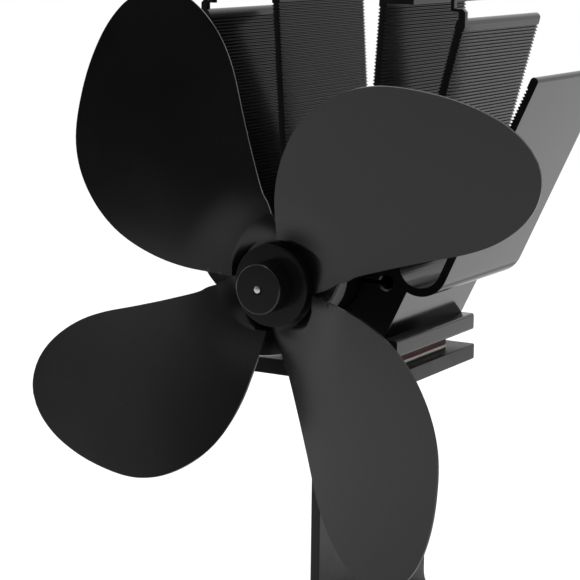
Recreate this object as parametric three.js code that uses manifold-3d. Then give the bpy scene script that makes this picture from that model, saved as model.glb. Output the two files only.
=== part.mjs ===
// A heat-powered stove fan: a cast stand, a thermoelectric module clamped under a ribbed heat sink, and a small
// motor in the sink that turns four twisted blades.
//
// Millimetres, +Z up, -Y to the front, where the fan blows. The origin is the centre of the foot's underside.

import * as THREE from 'three';
import { mergeVertices } from 'three/addons/utils/BufferGeometryUtils.js';
import Module from 'manifold-3d';

const wasm = await Module();
wasm.setup();

// Clearances and facet counts
const FIT_GAP = 0.3;
const CUT_OVERRUN = 1;
const ROUND_STEPS = 32;
const INNER_ROUND_STEPS = 20;
const SCREW_STEPS = 12;
const CORNER_STEPS = 4;

// Stand
const FOOT_WIDTH = 60;
const FOOT_DEPTH = 90;
const FOOT_THICKNESS = 4;
const FOOT_CORNER_RADIUS = 8;
const WEB_THICKNESS = 3;
const WEB_DEPTH = 70.4;
const WEB_HEIGHT = 83.3;
const WEB_FLARE_RADIUS = 8;
const WEB_SHOULDER_HEIGHT = 29;
const WEB_SHOULDER_STEPS = 10;
const WEB_FILLET_RADIUS = 2.5;
const TOP_PLATE_MARGIN = 1.2;
const TOP_PLATE_THICKNESS = 4.7;
const PLATE_CORNER_RADIUS = 0.8;

// Thermoelectric module, layer by layer from below
const MODULE_WIDTH = 40;
const MODULE_CLEARANCE = 3.7;
const PAD_THICKNESS = 0.5;
const CERAMIC_THICKNESS = 0.8;
const COUPLE_HEIGHT = 2;
const SEAL_WIDTH = 1.2;

// Heat sink: foot, trunk and housing
const SINK_CENTRE_Y = -6;
const SINK_DEPTH = 51.3;
const SINK_FOOT_WIDTH = 48.3;
const SINK_FOOT_THICKNESS = 5.1;
const AXIS_OVER_FOOT = 18.3;
const TRUNK_WIDTH = 39.6;
const TRUNK_TOP_OVER_AXIS = 3;
const HOUSING_WALL = 2.5;

// Heat sink: fins
const CHANNEL_OFFSET = 30.8;
const CHANNEL_OVER_AXIS = 4.4;
const CHANNEL_RADIUS = 9;
const CHANNEL_STEPS = 16;
const OUTER_FIN_LEAN = THREE.MathUtils.degToRad(24.7);
const OUTER_FIN_THICKNESS = 2.4;
const OUTER_FIN_TIP = 59;
const MIDDLE_FIN_OFFSET = 22.5;
const MIDDLE_FIN_LEAN = THREE.MathUtils.degToRad(14.7);
const MIDDLE_FIN_THICKNESS = 2.9;
const MIDDLE_FIN_TIP = 74;
const INNER_FIN_OFFSET = 12.2;
const INNER_FIN_LEAN = THREE.MathUtils.degToRad(3.9);
const INNER_FIN_THICKNESS = 2.6;
const INNER_FIN_TIP = 79.8;
const RIB_PITCH = 1.2;
const RIB_DEPTH = 0.35;
const RIBS_OVER_AXIS = 15;
const PLAIN_TIP_LENGTH = 2.5;
const FLANGE_REACH = 27.1;
const FLANGE_THICKNESS = 2.4;
const HOOK_NECK = 2.1;
const HOOK_NECK_HEIGHT = 2.8;
const HOOK_REACH = 4.5;
const HOOK_SHELF = 0.9;
const HOOK_LIP = 1.1;
const HOOK_LIP_HEIGHT = 2.9;
const HOOK_LENGTH = 1.8;

// Heat sink: screw ports, clamp screws and motor set screw
const PORT_OFFSET = 20.2;
const PORT_UNDER_AXIS = 1.6;
const PORT_RADIUS = 2;
const PORT_SLOT_WIDTH = 1.2;
const CLAMP_SPACING_X = 26;
const CLAMP_EDGE_DISTANCE = 5.15;
const CLAMP_RADIUS = 1.5;
const CLAMP_GRIP = 6.5;
const CLAMP_TIP_SPACE = 0.8;
const CLAMP_HEAD_RADIUS = 2.75;
const CLAMP_HEAD_HEIGHT = 2;
const CLAMP_SOCKET_RADIUS = 1.25;
const CLAMP_SOCKET_DEPTH = 1.3;
const CLAMP_SOCKET_SIDES = 6;
const WASHER_RADIUS = 3.6;
const WASHER_THICKNESS = 1;
const SET_SCREW_RADIUS = 1.5;
const SET_SCREW_LENGTH = 3.4;
const SET_SCREW_INSET = 5.5;

// Rear cover
const COVER_THICKNESS = 1.5;
const COVER_EAR_RADIUS = 3.8;
const COVER_NOTCH_RISE = 5.5;
const COVER_SCREW_HEAD_RADIUS = 3;
const COVER_SCREW_HEAD_HEIGHT = 1.8;
const COVER_SCREW_LENGTH = 8;

// Motor
const MOTOR_RADIUS = 12.2;
const MOTOR_LENGTH = 27;
const MOTOR_PROUD = 16;
const CAN_WALL = 0.9;
const CAN_BOSS_RADIUS = 4.2;
const CAN_BOSS_LENGTH = 1.6;
const BUSH_RADIUS = 2.6;
const BUSH_LENGTH = 3.4;
const CAP_THICKNESS = 2;
const CAP_PLUG_LENGTH = 1.6;
const MAGNET_THICKNESS = 2.4;
const MAGNET_LENGTH = 15;
const MAGNET_HALF_ANGLE = THREE.MathUtils.degToRad(58);
const AIR_GAP = 0.6;
const CORE_LENGTH = 11;
const CORE_FRONT_SPACE = 5;
const CORE_HUB_RADIUS = 2.8;
const POLE_COUNT = 3;
const POLE_NECK_WIDTH = 3;
const POLE_SHOE_THICKNESS = 1.6;
const POLE_HALF_ANGLE = THREE.MathUtils.degToRad(48);
const POLE_STEPS = 8;
const COIL_WALL = 1.2;
const COIL_OVERHANG = 1.5;
const COMMUTATOR_RADIUS = 2.5;
const COMMUTATOR_LENGTH = 4;
const BRUSH_LENGTH = 3.4;
const BRUSH_WIDTH = 2.4;
const TERMINAL_THICKNESS = 0.7;
const TERMINAL_PROUD = 3;

// Shaft, hub and blades
const SHAFT_RADIUS = 1;
const SHAFT_PROUD = 0.3;
const HUB_FRONT_PROUD = 37.6;
const BOSS_RADIUS = 7.1;
const BOSS_LENGTH = 6.9;
const BOSS_CHAMFER = 0.5;
const HUB_FLANGE_RADIUS = 11.7;
const HUB_FLANGE_THICKNESS = 3.2;
const HUB_FLANGE_CHAMFER = 0.8;
const SPIGOT_RADIUS = 4.3;
const SPIGOT_PROUD = 0.5;
const HUB_WASHER_RADIUS = 9.5;
const HUB_WASHER_THICKNESS = 1;
const BLADE_COUNT = 4;
const BLADE_TIP_RADIUS = 90;
const BLADE_THICKNESS = 0.8;
const BLADE_ANGLE = THREE.MathUtils.degToRad(37.1);
const CENTRE_ROWS = 2;
const BLADE_ROWS = 22;
const BLADE_COLUMNS = 7;
const BLADE_RISE = 7.6;
const BLADE_BEND_LENGTH = 18;
const CREASE_FADE_LENGTH = 14;

// The crease where a blade bends out of the flat centre: its distance from the axis at the leading edge, the one
// that it is drawn towards on its way, and the one at the trailing edge, as shares of the tip radius
const CREASE_SHARES = [0.222, 0.155, 0.145];

// Each station of a blade, from the crease out: its share of the tip radius, and its leading and trailing edges'
// angles in degrees
const BLADE_STATION_SHARES = [
  [0.195, -31, 45],
  [0.235, -29, 45.4],
  [0.28, -26.6, 45.5],
  [0.4, -24.7, 42.2],
  [0.53, -23.9, 36.8],
  [0.66, -23.6, 28.8],
  [0.76, -22.6, 20.9],
  [0.85, -20.6, 11.4],
  [0.92, -18.1, 4],
  [0.965, -15.4, -1.2],
  [0.99, -12.8, -5.2],
  [1, -10.6, -8.2],
];

// The blade's lift in front of its middle, as shares of half the blade's span, by powers of the place along the
// span and across it: cone, pitch, twist, camber and how they change towards the tip
const BLADE_MIDDLE_SHARE = 0.596;
const BLADE_HALF_SPAN_SHARE = 0.372;
const CONE_SHARE = 0.094;
const PITCH_SHARE = 0.27;
const TWIST_SHARE = -0.024;
const CHORD_CAMBER_SHARE = -0.028;
const SPAN_CAMBER_SHARE = -0.029;
const TIP_PITCH_SHARE = -0.021;
const TIP_CAMBER_SHARE = 0.042;

// Leads from the module to the motor
const LEAD_RADIUS = 0.75;
const LEAD_SIDES = 6;
const LEAD_STEPS = 48;
const LEAD_BEND_RADIUS = 3.1;
const LEAD_BEND_HANDLE_SHARE = 0.5523;
const LEAD_STACK_HEIGHT = 1.9;
const LEAD_STACK_STEP = 1.75;
const LEAD_EXIT_FROM_FRONT = 4;
const LEAD_ENTRY_UNDER_AXIS = 9.4;
const LEAD_ENTRY_OFFSET = 1.15;
const LEAD_CAP_SPACE = 9;

// Levels, from the floor up
const TOP_PLATE_BOTTOM = FOOT_THICKNESS + WEB_HEIGHT;
const TOP_PLATE_TOP = TOP_PLATE_BOTTOM + TOP_PLATE_THICKNESS;
const WASHER_BOTTOM = TOP_PLATE_BOTTOM + CLAMP_HEAD_HEIGHT;
const WASHER_TOP = WASHER_BOTTOM + WASHER_THICKNESS;
const HOT_PLATE_BOTTOM = TOP_PLATE_TOP + PAD_THICKNESS;
const COUPLES_BOTTOM = HOT_PLATE_BOTTOM + CERAMIC_THICKNESS;
const COLD_PLATE_BOTTOM = COUPLES_BOTTOM + COUPLE_HEIGHT;
const COLD_PAD_BOTTOM = COLD_PLATE_BOTTOM + CERAMIC_THICKNESS;
const SINK_BOTTOM = COLD_PAD_BOTTOM + PAD_THICKNESS;
const TRUNK_BOTTOM = SINK_BOTTOM + SINK_FOOT_THICKNESS;
const AXIS_HEIGHT = TRUNK_BOTTOM + AXIS_OVER_FOOT;

// Places along the motor axis, from the front back
const SINK_FRONT = SINK_CENTRE_Y - SINK_DEPTH / 2;
const SINK_BACK = SINK_CENTRE_Y + SINK_DEPTH / 2;
const HUB_FRONT = SINK_FRONT - HUB_FRONT_PROUD;
const HUB_FLANGE_FRONT = HUB_FRONT + BOSS_LENGTH;
const SHEET_FRONT = HUB_FLANGE_FRONT + HUB_FLANGE_THICKNESS;
const SHEET_BACK = SHEET_FRONT + BLADE_THICKNESS;
const HUB_WASHER_BACK = SHEET_BACK + HUB_WASHER_THICKNESS;
const MOTOR_FRONT = SINK_FRONT - MOTOR_PROUD;
const MOTOR_BACK = MOTOR_FRONT + MOTOR_LENGTH;
const CORE_FRONT = MOTOR_FRONT + CAN_WALL + CORE_FRONT_SPACE;
const CORE_BACK = CORE_FRONT + CORE_LENGTH;
const COMMUTATOR_FRONT = CORE_BACK + COIL_OVERHANG + FIT_GAP;
const COMMUTATOR_BACK = COMMUTATOR_FRONT + COMMUTATOR_LENGTH;
const CAP_FRONT = MOTOR_BACK - CAP_PLUG_LENGTH;
const CAP_BACK = MOTOR_BACK + CAP_THICKNESS;
const TERMINAL_BACK = CAP_BACK + TERMINAL_PROUD;

// Radii round the motor axis, from the can in
const BORE_RADIUS = MOTOR_RADIUS + FIT_GAP;
const HOUSING_RADIUS = BORE_RADIUS + HOUSING_WALL;
const CAN_INNER_RADIUS = MOTOR_RADIUS - CAN_WALL;
const MAGNET_OUTER_RADIUS = CAN_INNER_RADIUS - FIT_GAP;
const MAGNET_INNER_RADIUS = MAGNET_OUTER_RADIUS - MAGNET_THICKNESS;
const CORE_RADIUS = MAGNET_INNER_RADIUS - AIR_GAP;
const SHOE_INNER_RADIUS = CORE_RADIUS - POLE_SHOE_THICKNESS;
const SHAFT_HOLE_RADIUS = SHAFT_RADIUS + FIT_GAP;
const BUSH_HOLE_RADIUS = BUSH_RADIUS + FIT_GAP;
const CLAMP_HOLE_RADIUS = CLAMP_RADIUS + FIT_GAP;
const WASHER_RECESS_RADIUS = WASHER_RADIUS + FIT_GAP;
const NOTCH_TIP_RADIUS = HUB_FLANGE_RADIUS + FIT_GAP;

// Depths that follow from the sink's: the screws stand at its front and back edges, and the module between them
const TOP_PLATE_DEPTH = SINK_DEPTH + 2 * TOP_PLATE_MARGIN;
const CLAMP_SPACING_Y = SINK_DEPTH - 2 * CLAMP_EDGE_DISTANCE;
const MODULE_DEPTH = CLAMP_SPACING_Y - 2 * (CLAMP_HOLE_RADIUS + MODULE_CLEARANCE);

// Materials

function paintedCasting() {
  return new THREE.MeshStandardMaterial({ color: 0x2c2e2e, roughness: 0.55, metalness: 0.3 });
}

function blackAnodised() {
  return new THREE.MeshStandardMaterial({ color: 0x1b1c1d, roughness: 0.5, metalness: 0.6 });
}

function bladePaint() {
  return new THREE.MeshStandardMaterial({ color: 0x303030, roughness: 0.6, metalness: 0.2 });
}

function hubMetal() {
  return new THREE.MeshStandardMaterial({ color: 0x2a2a2b, roughness: 0.4, metalness: 0.7 });
}

function plainSteel() {
  return new THREE.MeshStandardMaterial({ color: 0xb4b6b8, roughness: 0.3, metalness: 0.9 });
}

function screwSteel() {
  return new THREE.MeshStandardMaterial({ color: 0x8c8e90, roughness: 0.35, metalness: 0.9 });
}

function coreSteel() {
  return new THREE.MeshStandardMaterial({ color: 0x6c6e72, roughness: 0.5, metalness: 0.8 });
}

function sinteredBronze() {
  return new THREE.MeshStandardMaterial({ color: 0xa87842, roughness: 0.5, metalness: 0.8 });
}

function copper() {
  return new THREE.MeshStandardMaterial({ color: 0xb26a3c, roughness: 0.4, metalness: 0.85 });
}

function ferrite() {
  return new THREE.MeshStandardMaterial({ color: 0x3a3836, roughness: 0.8, metalness: 0.1 });
}

function thermalPad() {
  return new THREE.MeshStandardMaterial({ color: 0x3c3c3e, roughness: 0.9, metalness: 0 });
}

function whiteCeramic() {
  return new THREE.MeshStandardMaterial({ color: 0xdedcd4, roughness: 0.6, metalness: 0 });
}

function coupleMaterial() {
  return new THREE.MeshStandardMaterial({ color: 0x6a6a70, roughness: 0.6, metalness: 0.5 });
}

function sealRubber() {
  return new THREE.MeshStandardMaterial({ color: 0x5a2226, roughness: 0.7, metalness: 0 });
}

function fibreBoard() {
  return new THREE.MeshStandardMaterial({ color: 0xb9a888, roughness: 0.85, metalness: 0 });
}

function capPlastic() {
  return new THREE.MeshStandardMaterial({ color: 0x242424, roughness: 0.6, metalness: 0 });
}

function leadCover(color) {
  return new THREE.MeshStandardMaterial({ color, roughness: 0.6, metalness: 0 });
}

// Solids and meshes

function solid(geometry) {
  const bare = geometry.clone();
  bare.deleteAttribute('normal');
  bare.deleteAttribute('uv');
  const merged = mergeVertices(bare);
  const corners = merged.index.array;
  const triangles = [];
  for (let i = 0; i < corners.length; i += 3) {
    const [a, b, c] = corners.slice(i, i + 3);
    if (a !== b && b !== c && c !== a) triangles.push(a, b, c);
  }
  return new wasm.Manifold(new wasm.Mesh({
    numProp: 3,
    vertProperties: merged.attributes.position.array,
    triVerts: new Uint32Array(triangles),
  }));
}

function joined(geometries) {
  return geometries.map(solid).reduce((whole, next) => whole.add(next));
}

function cutBy(target, geometries) {
  return geometries.map(solid).reduce((whole, next) => whole.subtract(next), target);
}

function surface(body) {
  const { vertProperties, triVerts } = body.getMesh();
  const geometry = new THREE.BufferGeometry();
  geometry.setAttribute('position', new THREE.BufferAttribute(vertProperties, 3));
  geometry.setIndex(new THREE.BufferAttribute(triVerts, 1));
  geometry.computeVertexNormals();
  return geometry;
}

function piece(name, geometry, material) {
  const mesh = new THREE.Mesh(geometry, material);
  mesh.name = name;
  return mesh;
}

// Outlines: lists of [across, up] pairs

function arc(centreX, centreY, radius, from, to, steps) {
  const points = [];
  for (let i = 0; i <= steps; i += 1) {
    const angle = THREE.MathUtils.lerp(from, to, i / steps);
    points.push([centreX + radius * Math.cos(angle), centreY + radius * Math.sin(angle)]);
  }
  return points;
}

function circle(centreX, centreY, radius, steps) {
  return arc(centreX, centreY, radius, 0, 2 * Math.PI, steps).slice(1);
}

function arcBand(centreX, centreY, inner, outer, from, to, steps) {
  return [
    ...arc(centreX, centreY, outer, from, to, steps),
    ...arc(centreX, centreY, inner, to, from, steps),
  ];
}

function rectangle(left, right, bottom, top) {
  return [[left, bottom], [right, bottom], [right, top], [left, top]];
}

function roundedRectangle(left, right, bottom, top, radius) {
  const quarter = Math.PI / 2;
  return [
    ...arc(right - radius, top - radius, radius, 0, quarter, CORNER_STEPS),
    ...arc(left + radius, top - radius, radius, quarter, 2 * quarter, CORNER_STEPS),
    ...arc(left + radius, bottom + radius, radius, 2 * quarter, 3 * quarter, CORNER_STEPS),
    ...arc(right - radius, bottom + radius, radius, 3 * quarter, 4 * quarter, CORNER_STEPS),
  ];
}

function mirrored(points) {
  return points.map(([x, y]) => [-x, y]);
}

// Extrusions between two planes, whose ends lie exactly on them

function extrudeBetween(points, low, high, place, holes = []) {
  const toVectors = (list) => list.map(([x, y]) => new THREE.Vector2(x, y));
  const shape = new THREE.Shape(toVectors(points));
  shape.holes = holes.map((hole) => new THREE.Path(toVectors(hole)));
  const geometry = new THREE.ExtrudeGeometry(shape, { depth: 1, bevelEnabled: false });
  const positions = geometry.attributes.position;
  for (let i = 0; i < positions.count; i += 1) {
    const level = positions.getZ(i) > 0 ? high : low;
    positions.setXYZ(i, ...place(positions.getX(i), positions.getY(i), level));
  }
  geometry.computeVertexNormals();
  return geometry;
}

function extrudeUp(points, bottom, top, holes) {
  return extrudeBetween(points, bottom, top, (x, y, level) => [x, y, level], holes);
}

function extrudeAcross(points, left, right) {
  return extrudeBetween(points, left, right, (y, z, level) => [level, y, z]);
}

function extrudeBack(points, front, back, holes) {
  return extrudeBetween(points, back, front, (x, z, level) => [x, level, z], holes);
}

function pin(x, y, radius, bottom, top) {
  return extrudeUp(circle(x, y, radius, SCREW_STEPS), bottom, top);
}

// A body turned round the motor axis, from a section of [radius, y] pairs
function turned(section, steps) {
  const points = section.map(([radius, y]) => new THREE.Vector2(radius, y));
  if (THREE.ShapeUtils.area(points) < 0) points.reverse();
  const onAxis = points.findIndex((point, i) => point.x === 0 && points.at(i - 1).x === 0);
  const start = Math.max(onAxis, 0);
  const ordered = [...points.slice(start), ...points.slice(0, start)];
  if (onAxis < 0) ordered.push(ordered[0].clone());
  return new THREE.LatheGeometry(ordered, steps);
}

function turnedRing(inner, outer, front, back, steps) {
  return turned([[inner, front], [outer, front], [outer, back], [inner, back]], steps);
}

function onAxis(geometry) {
  return geometry.translate(0, 0, AXIS_HEIGHT);
}

// Stand

function webEdge(direction) {
  const plateEdge = SINK_CENTRE_Y + direction * TOP_PLATE_DEPTH / 2;
  const webSide = direction * WEB_DEPTH / 2;
  const points = [];
  for (let i = 0; i <= WEB_SHOULDER_STEPS; i += 1) {
    const share = i / WEB_SHOULDER_STEPS;
    const y = THREE.MathUtils.lerp(plateEdge, webSide, (1 - Math.cos(Math.PI * share)) / 2);
    points.push([y, TOP_PLATE_BOTTOM - share * WEB_SHOULDER_HEIGHT]);
  }
  const flareStart = direction > 0 ? Math.PI : 0;
  const flare = arc(webSide + direction * WEB_FLARE_RADIUS, FOOT_THICKNESS + WEB_FLARE_RADIUS, WEB_FLARE_RADIUS,
    flareStart, flareStart + direction * Math.PI / 2, CORNER_STEPS);
  return [...points, ...flare, [flare.at(-1)[0], FOOT_THICKNESS / 2]];
}

// The fillet between the web's right face and the foot (direction 1) or the top plate (direction -1)
function webFillet(base, direction) {
  const x = WEB_THICKNESS / 2 + WEB_FILLET_RADIUS;
  const z = base + direction * WEB_FILLET_RADIUS;
  const sunk = base - direction * WEB_FILLET_RADIUS;
  const curve = arc(x, z, WEB_FILLET_RADIUS, Math.PI, Math.PI * (1 + direction / 2), CORNER_STEPS);
  return [...curve, [x, sunk], [0, sunk], [0, z]];
}

function clampPlaces() {
  const places = [];
  for (const x of [-CLAMP_SPACING_X / 2, CLAMP_SPACING_X / 2]) {
    for (const y of [-CLAMP_SPACING_Y / 2, CLAMP_SPACING_Y / 2]) places.push([x, SINK_CENTRE_Y + y]);
  }
  return places;
}

function baseStand() {
  const plateFront = SINK_CENTRE_Y - TOP_PLATE_DEPTH / 2;
  const plateBack = SINK_CENTRE_Y + TOP_PLATE_DEPTH / 2;
  const foot = extrudeUp(
    roundedRectangle(-FOOT_WIDTH / 2, FOOT_WIDTH / 2, -FOOT_DEPTH / 2, FOOT_DEPTH / 2, FOOT_CORNER_RADIUS),
    0, FOOT_THICKNESS);
  const plate = extrudeUp(
    roundedRectangle(-SINK_FOOT_WIDTH / 2, SINK_FOOT_WIDTH / 2, plateFront, plateBack, PLATE_CORNER_RADIUS),
    TOP_PLATE_BOTTOM, TOP_PLATE_TOP);
  const topInset = TOP_PLATE_BOTTOM + TOP_PLATE_THICKNESS / 2;
  const backEdge = webEdge(1);
  const frontEdge = webEdge(-1);
  const web = extrudeAcross(
    [[backEdge[0][0], topInset], ...backEdge, ...frontEdge.reverse(), [frontEdge.at(-1)[0], topInset]],
    -WEB_THICKNESS / 2, WEB_THICKNESS / 2);
  const fillets = [
    [webFillet(FOOT_THICKNESS, 1), -WEB_DEPTH / 2, WEB_DEPTH / 2],
    [webFillet(TOP_PLATE_BOTTOM, -1), plateFront, plateBack],
  ].flatMap(([points, front, back]) => [
    extrudeBack(points, front, back),
    extrudeBack(mirrored(points), front, back),
  ]);
  const cuts = clampPlaces().flatMap(([x, y]) => [
    pin(x, y, CLAMP_HOLE_RADIUS, TOP_PLATE_BOTTOM, TOP_PLATE_TOP + CUT_OVERRUN),
    pin(x, y, WASHER_RECESS_RADIUS, TOP_PLATE_BOTTOM - CUT_OVERRUN, WASHER_TOP),
  ]);
  return piece('base_stand', surface(cutBy(joined([foot, plate, web, ...fillets]), cuts)), paintedCasting());
}

// Thermoelectric module

function moduleOutline(inset) {
  return rectangle(-MODULE_WIDTH / 2 + inset, MODULE_WIDTH / 2 - inset,
    SINK_CENTRE_Y - MODULE_DEPTH / 2 + inset, SINK_CENTRE_Y + MODULE_DEPTH / 2 - inset);
}

function moduleLayers() {
  const inset = SEAL_WIDTH + FIT_GAP;
  const layers = [
    ['hot_pad', 0, TOP_PLATE_TOP, HOT_PLATE_BOTTOM, thermalPad()],
    ['teg_hot_plate', 0, HOT_PLATE_BOTTOM, COUPLES_BOTTOM, whiteCeramic()],
    ['teg_couples', inset, COUPLES_BOTTOM, COLD_PLATE_BOTTOM, coupleMaterial()],
    ['teg_cold_plate', inset, COLD_PLATE_BOTTOM, COLD_PAD_BOTTOM, whiteCeramic()],
    ['cold_pad', 0, COLD_PAD_BOTTOM, SINK_BOTTOM, thermalPad()],
  ];
  return layers.map(([name, edge, bottom, top, material]) => piece(
    name, extrudeUp(moduleOutline(edge), bottom, top), material));
}

function moduleSeal() {
  const ring = extrudeUp(moduleOutline(0), COUPLES_BOTTOM, COLD_PAD_BOTTOM, [moduleOutline(SEAL_WIDTH)]);
  return piece('teg_seal', ring, sealRubber());
}

// Clamp screws and washers, sunk in the top plate's underside

function clampScrew(x, y, number) {
  const head = pin(x, y, CLAMP_HEAD_RADIUS, TOP_PLATE_BOTTOM, WASHER_BOTTOM);
  const shank = pin(x, y, CLAMP_RADIUS, (TOP_PLATE_BOTTOM + WASHER_BOTTOM) / 2, SINK_BOTTOM + CLAMP_GRIP);
  const socket = extrudeUp(circle(x, y, CLAMP_SOCKET_RADIUS, CLAMP_SOCKET_SIDES),
    TOP_PLATE_BOTTOM - CUT_OVERRUN, TOP_PLATE_BOTTOM + CLAMP_SOCKET_DEPTH);
  return piece(`clamp_screw_${number}`, surface(cutBy(joined([head, shank]), [socket])), screwSteel());
}

function clampWasher(x, y, number) {
  const ring = extrudeUp(circle(x, y, WASHER_RADIUS, SCREW_STEPS), WASHER_BOTTOM, WASHER_TOP,
    [circle(x, y, CLAMP_HOLE_RADIUS, SCREW_STEPS)]);
  return piece(`clamp_washer_${number}`, ring, fibreBoard());
}

// Heat sink: each outline is given for the right side, and mirrored for the left

function overAxis(height) {
  return AXIS_HEIGHT + height;
}

// A fin's outline from its start point on its middle line, along its lean. A ribbed side has a row of ribs.
function finOutline(start, lean, tipHeight, thickness, ribSides, roundTip) {
  const length = (tipHeight - start[1]) / Math.cos(lean);
  const ribsFrom = Math.max((overAxis(RIBS_OVER_AXIS) - start[1]) / Math.cos(lean), 0);
  const ribCount = Math.floor((length - PLAIN_TIP_LENGTH - ribsFrom) / RIB_PITCH);
  const side = (direction) => {
    const crest = direction * thickness / 2;
    if (!ribSides.includes(direction)) return [[0, crest], [length - (roundTip ? thickness / 2 : 0), crest]];
    const valley = direction * (thickness / 2 - RIB_DEPTH);
    const points = [[0, crest], [ribsFrom, crest]];
    for (let i = 0; i < ribCount; i += 1) {
      points.push([ribsFrom + (i + 0.5) * RIB_PITCH, valley], [ribsFrom + (i + 1) * RIB_PITCH, crest]);
    }
    return [...points, [length - (roundTip ? thickness / 2 : 0), crest]];
  };
  const tip = roundTip
    ? arc(length - thickness / 2, 0, thickness / 2, -Math.PI / 2, Math.PI / 2, CORNER_STEPS).slice(1, -1)
    : [];
  const flat = [...side(-1), ...tip, ...side(1).reverse()];
  return flat.map(([along, across]) => [
    start[0] + along * Math.sin(lean) - across * Math.cos(lean),
    start[1] + along * Math.cos(lean) + across * Math.sin(lean),
  ]);
}

function finMiddle(offset, lean, height) {
  return offset + height * Math.tan(lean);
}

function innerFin() {
  const startHeight = BORE_RADIUS / 2;
  const start = [finMiddle(INNER_FIN_OFFSET, INNER_FIN_LEAN, startHeight), overAxis(startHeight)];
  return finOutline(start, INNER_FIN_LEAN, overAxis(INNER_FIN_TIP), INNER_FIN_THICKNESS, [-1, 1], false);
}

function innerFinFlange() {
  const bottom = INNER_FIN_TIP - FLANGE_THICKNESS;
  return rectangle(finMiddle(INNER_FIN_OFFSET, INNER_FIN_LEAN, bottom), FLANGE_REACH,
    overAxis(bottom), overAxis(INNER_FIN_TIP));
}

function middleFin() {
  const start = [MIDDLE_FIN_OFFSET, overAxis(0)];
  return finOutline(start, MIDDLE_FIN_LEAN, overAxis(MIDDLE_FIN_TIP), MIDDLE_FIN_THICKNESS, [-1, 1], true);
}

function middleFinHook() {
  const neckMiddle = finMiddle(MIDDLE_FIN_OFFSET, MIDDLE_FIN_LEAN, MIDDLE_FIN_TIP);
  const outside = neckMiddle + HOOK_NECK / 2;
  const inside = outside - HOOK_REACH;
  const bottom = MIDDLE_FIN_TIP - PLAIN_TIP_LENGTH;
  const shelfTop = MIDDLE_FIN_TIP + HOOK_NECK_HEIGHT;
  const shelfBottom = shelfTop - HOOK_SHELF;
  return [
    [neckMiddle - HOOK_NECK / 2, bottom],
    [outside, bottom],
    [outside, shelfBottom],
    [outside - HOOK_SHELF, shelfTop],
    [inside + HOOK_LIP, shelfTop],
    [inside + HOOK_LIP, shelfTop + HOOK_LIP_HEIGHT],
    [inside, shelfTop + HOOK_LIP_HEIGHT],
    [inside, shelfBottom],
    [neckMiddle - HOOK_NECK / 2, shelfBottom],
  ].map(([x, height]) => [x, overAxis(height)]);
}

function outerFin() {
  const middleRadius = CHANNEL_RADIUS - OUTER_FIN_THICKNESS / 2;
  const start = [
    CHANNEL_OFFSET + middleRadius * Math.cos(OUTER_FIN_LEAN),
    overAxis(CHANNEL_OVER_AXIS - middleRadius * Math.sin(OUTER_FIN_LEAN)),
  ];
  return finOutline(start, OUTER_FIN_LEAN, overAxis(OUTER_FIN_TIP), OUTER_FIN_THICKNESS, [1], true);
}

function channelBand() {
  return arcBand(CHANNEL_OFFSET, overAxis(CHANNEL_OVER_AXIS), CHANNEL_RADIUS - OUTER_FIN_THICKNESS,
    CHANNEL_RADIUS, MIDDLE_FIN_LEAN - Math.PI, -OUTER_FIN_LEAN, CHANNEL_STEPS);
}

function channelHollow() {
  return circle(CHANNEL_OFFSET, overAxis(CHANNEL_OVER_AXIS), CHANNEL_RADIUS - OUTER_FIN_THICKNESS, ROUND_STEPS);
}

function trunk() {
  const shoulder = finMiddle(MIDDLE_FIN_OFFSET, MIDDLE_FIN_LEAN, TRUNK_TOP_OVER_AXIS);
  const right = [
    [TRUNK_WIDTH / 2, TRUNK_BOTTOM],
    [CHANNEL_OFFSET, overAxis(CHANNEL_OVER_AXIS)],
    [shoulder, overAxis(TRUNK_TOP_OVER_AXIS)],
  ];
  return [...right, ...mirrored(right).reverse()];
}

function portSlot() {
  const middle = -PORT_UNDER_AXIS;
  return rectangle(BORE_RADIUS - CUT_OVERRUN, PORT_OFFSET, overAxis(middle - PORT_SLOT_WIDTH / 2),
    overAxis(middle + PORT_SLOT_WIDTH / 2));
}

function portHole() {
  return circle(PORT_OFFSET, overAxis(-PORT_UNDER_AXIS), PORT_RADIUS, SCREW_STEPS);
}

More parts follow.
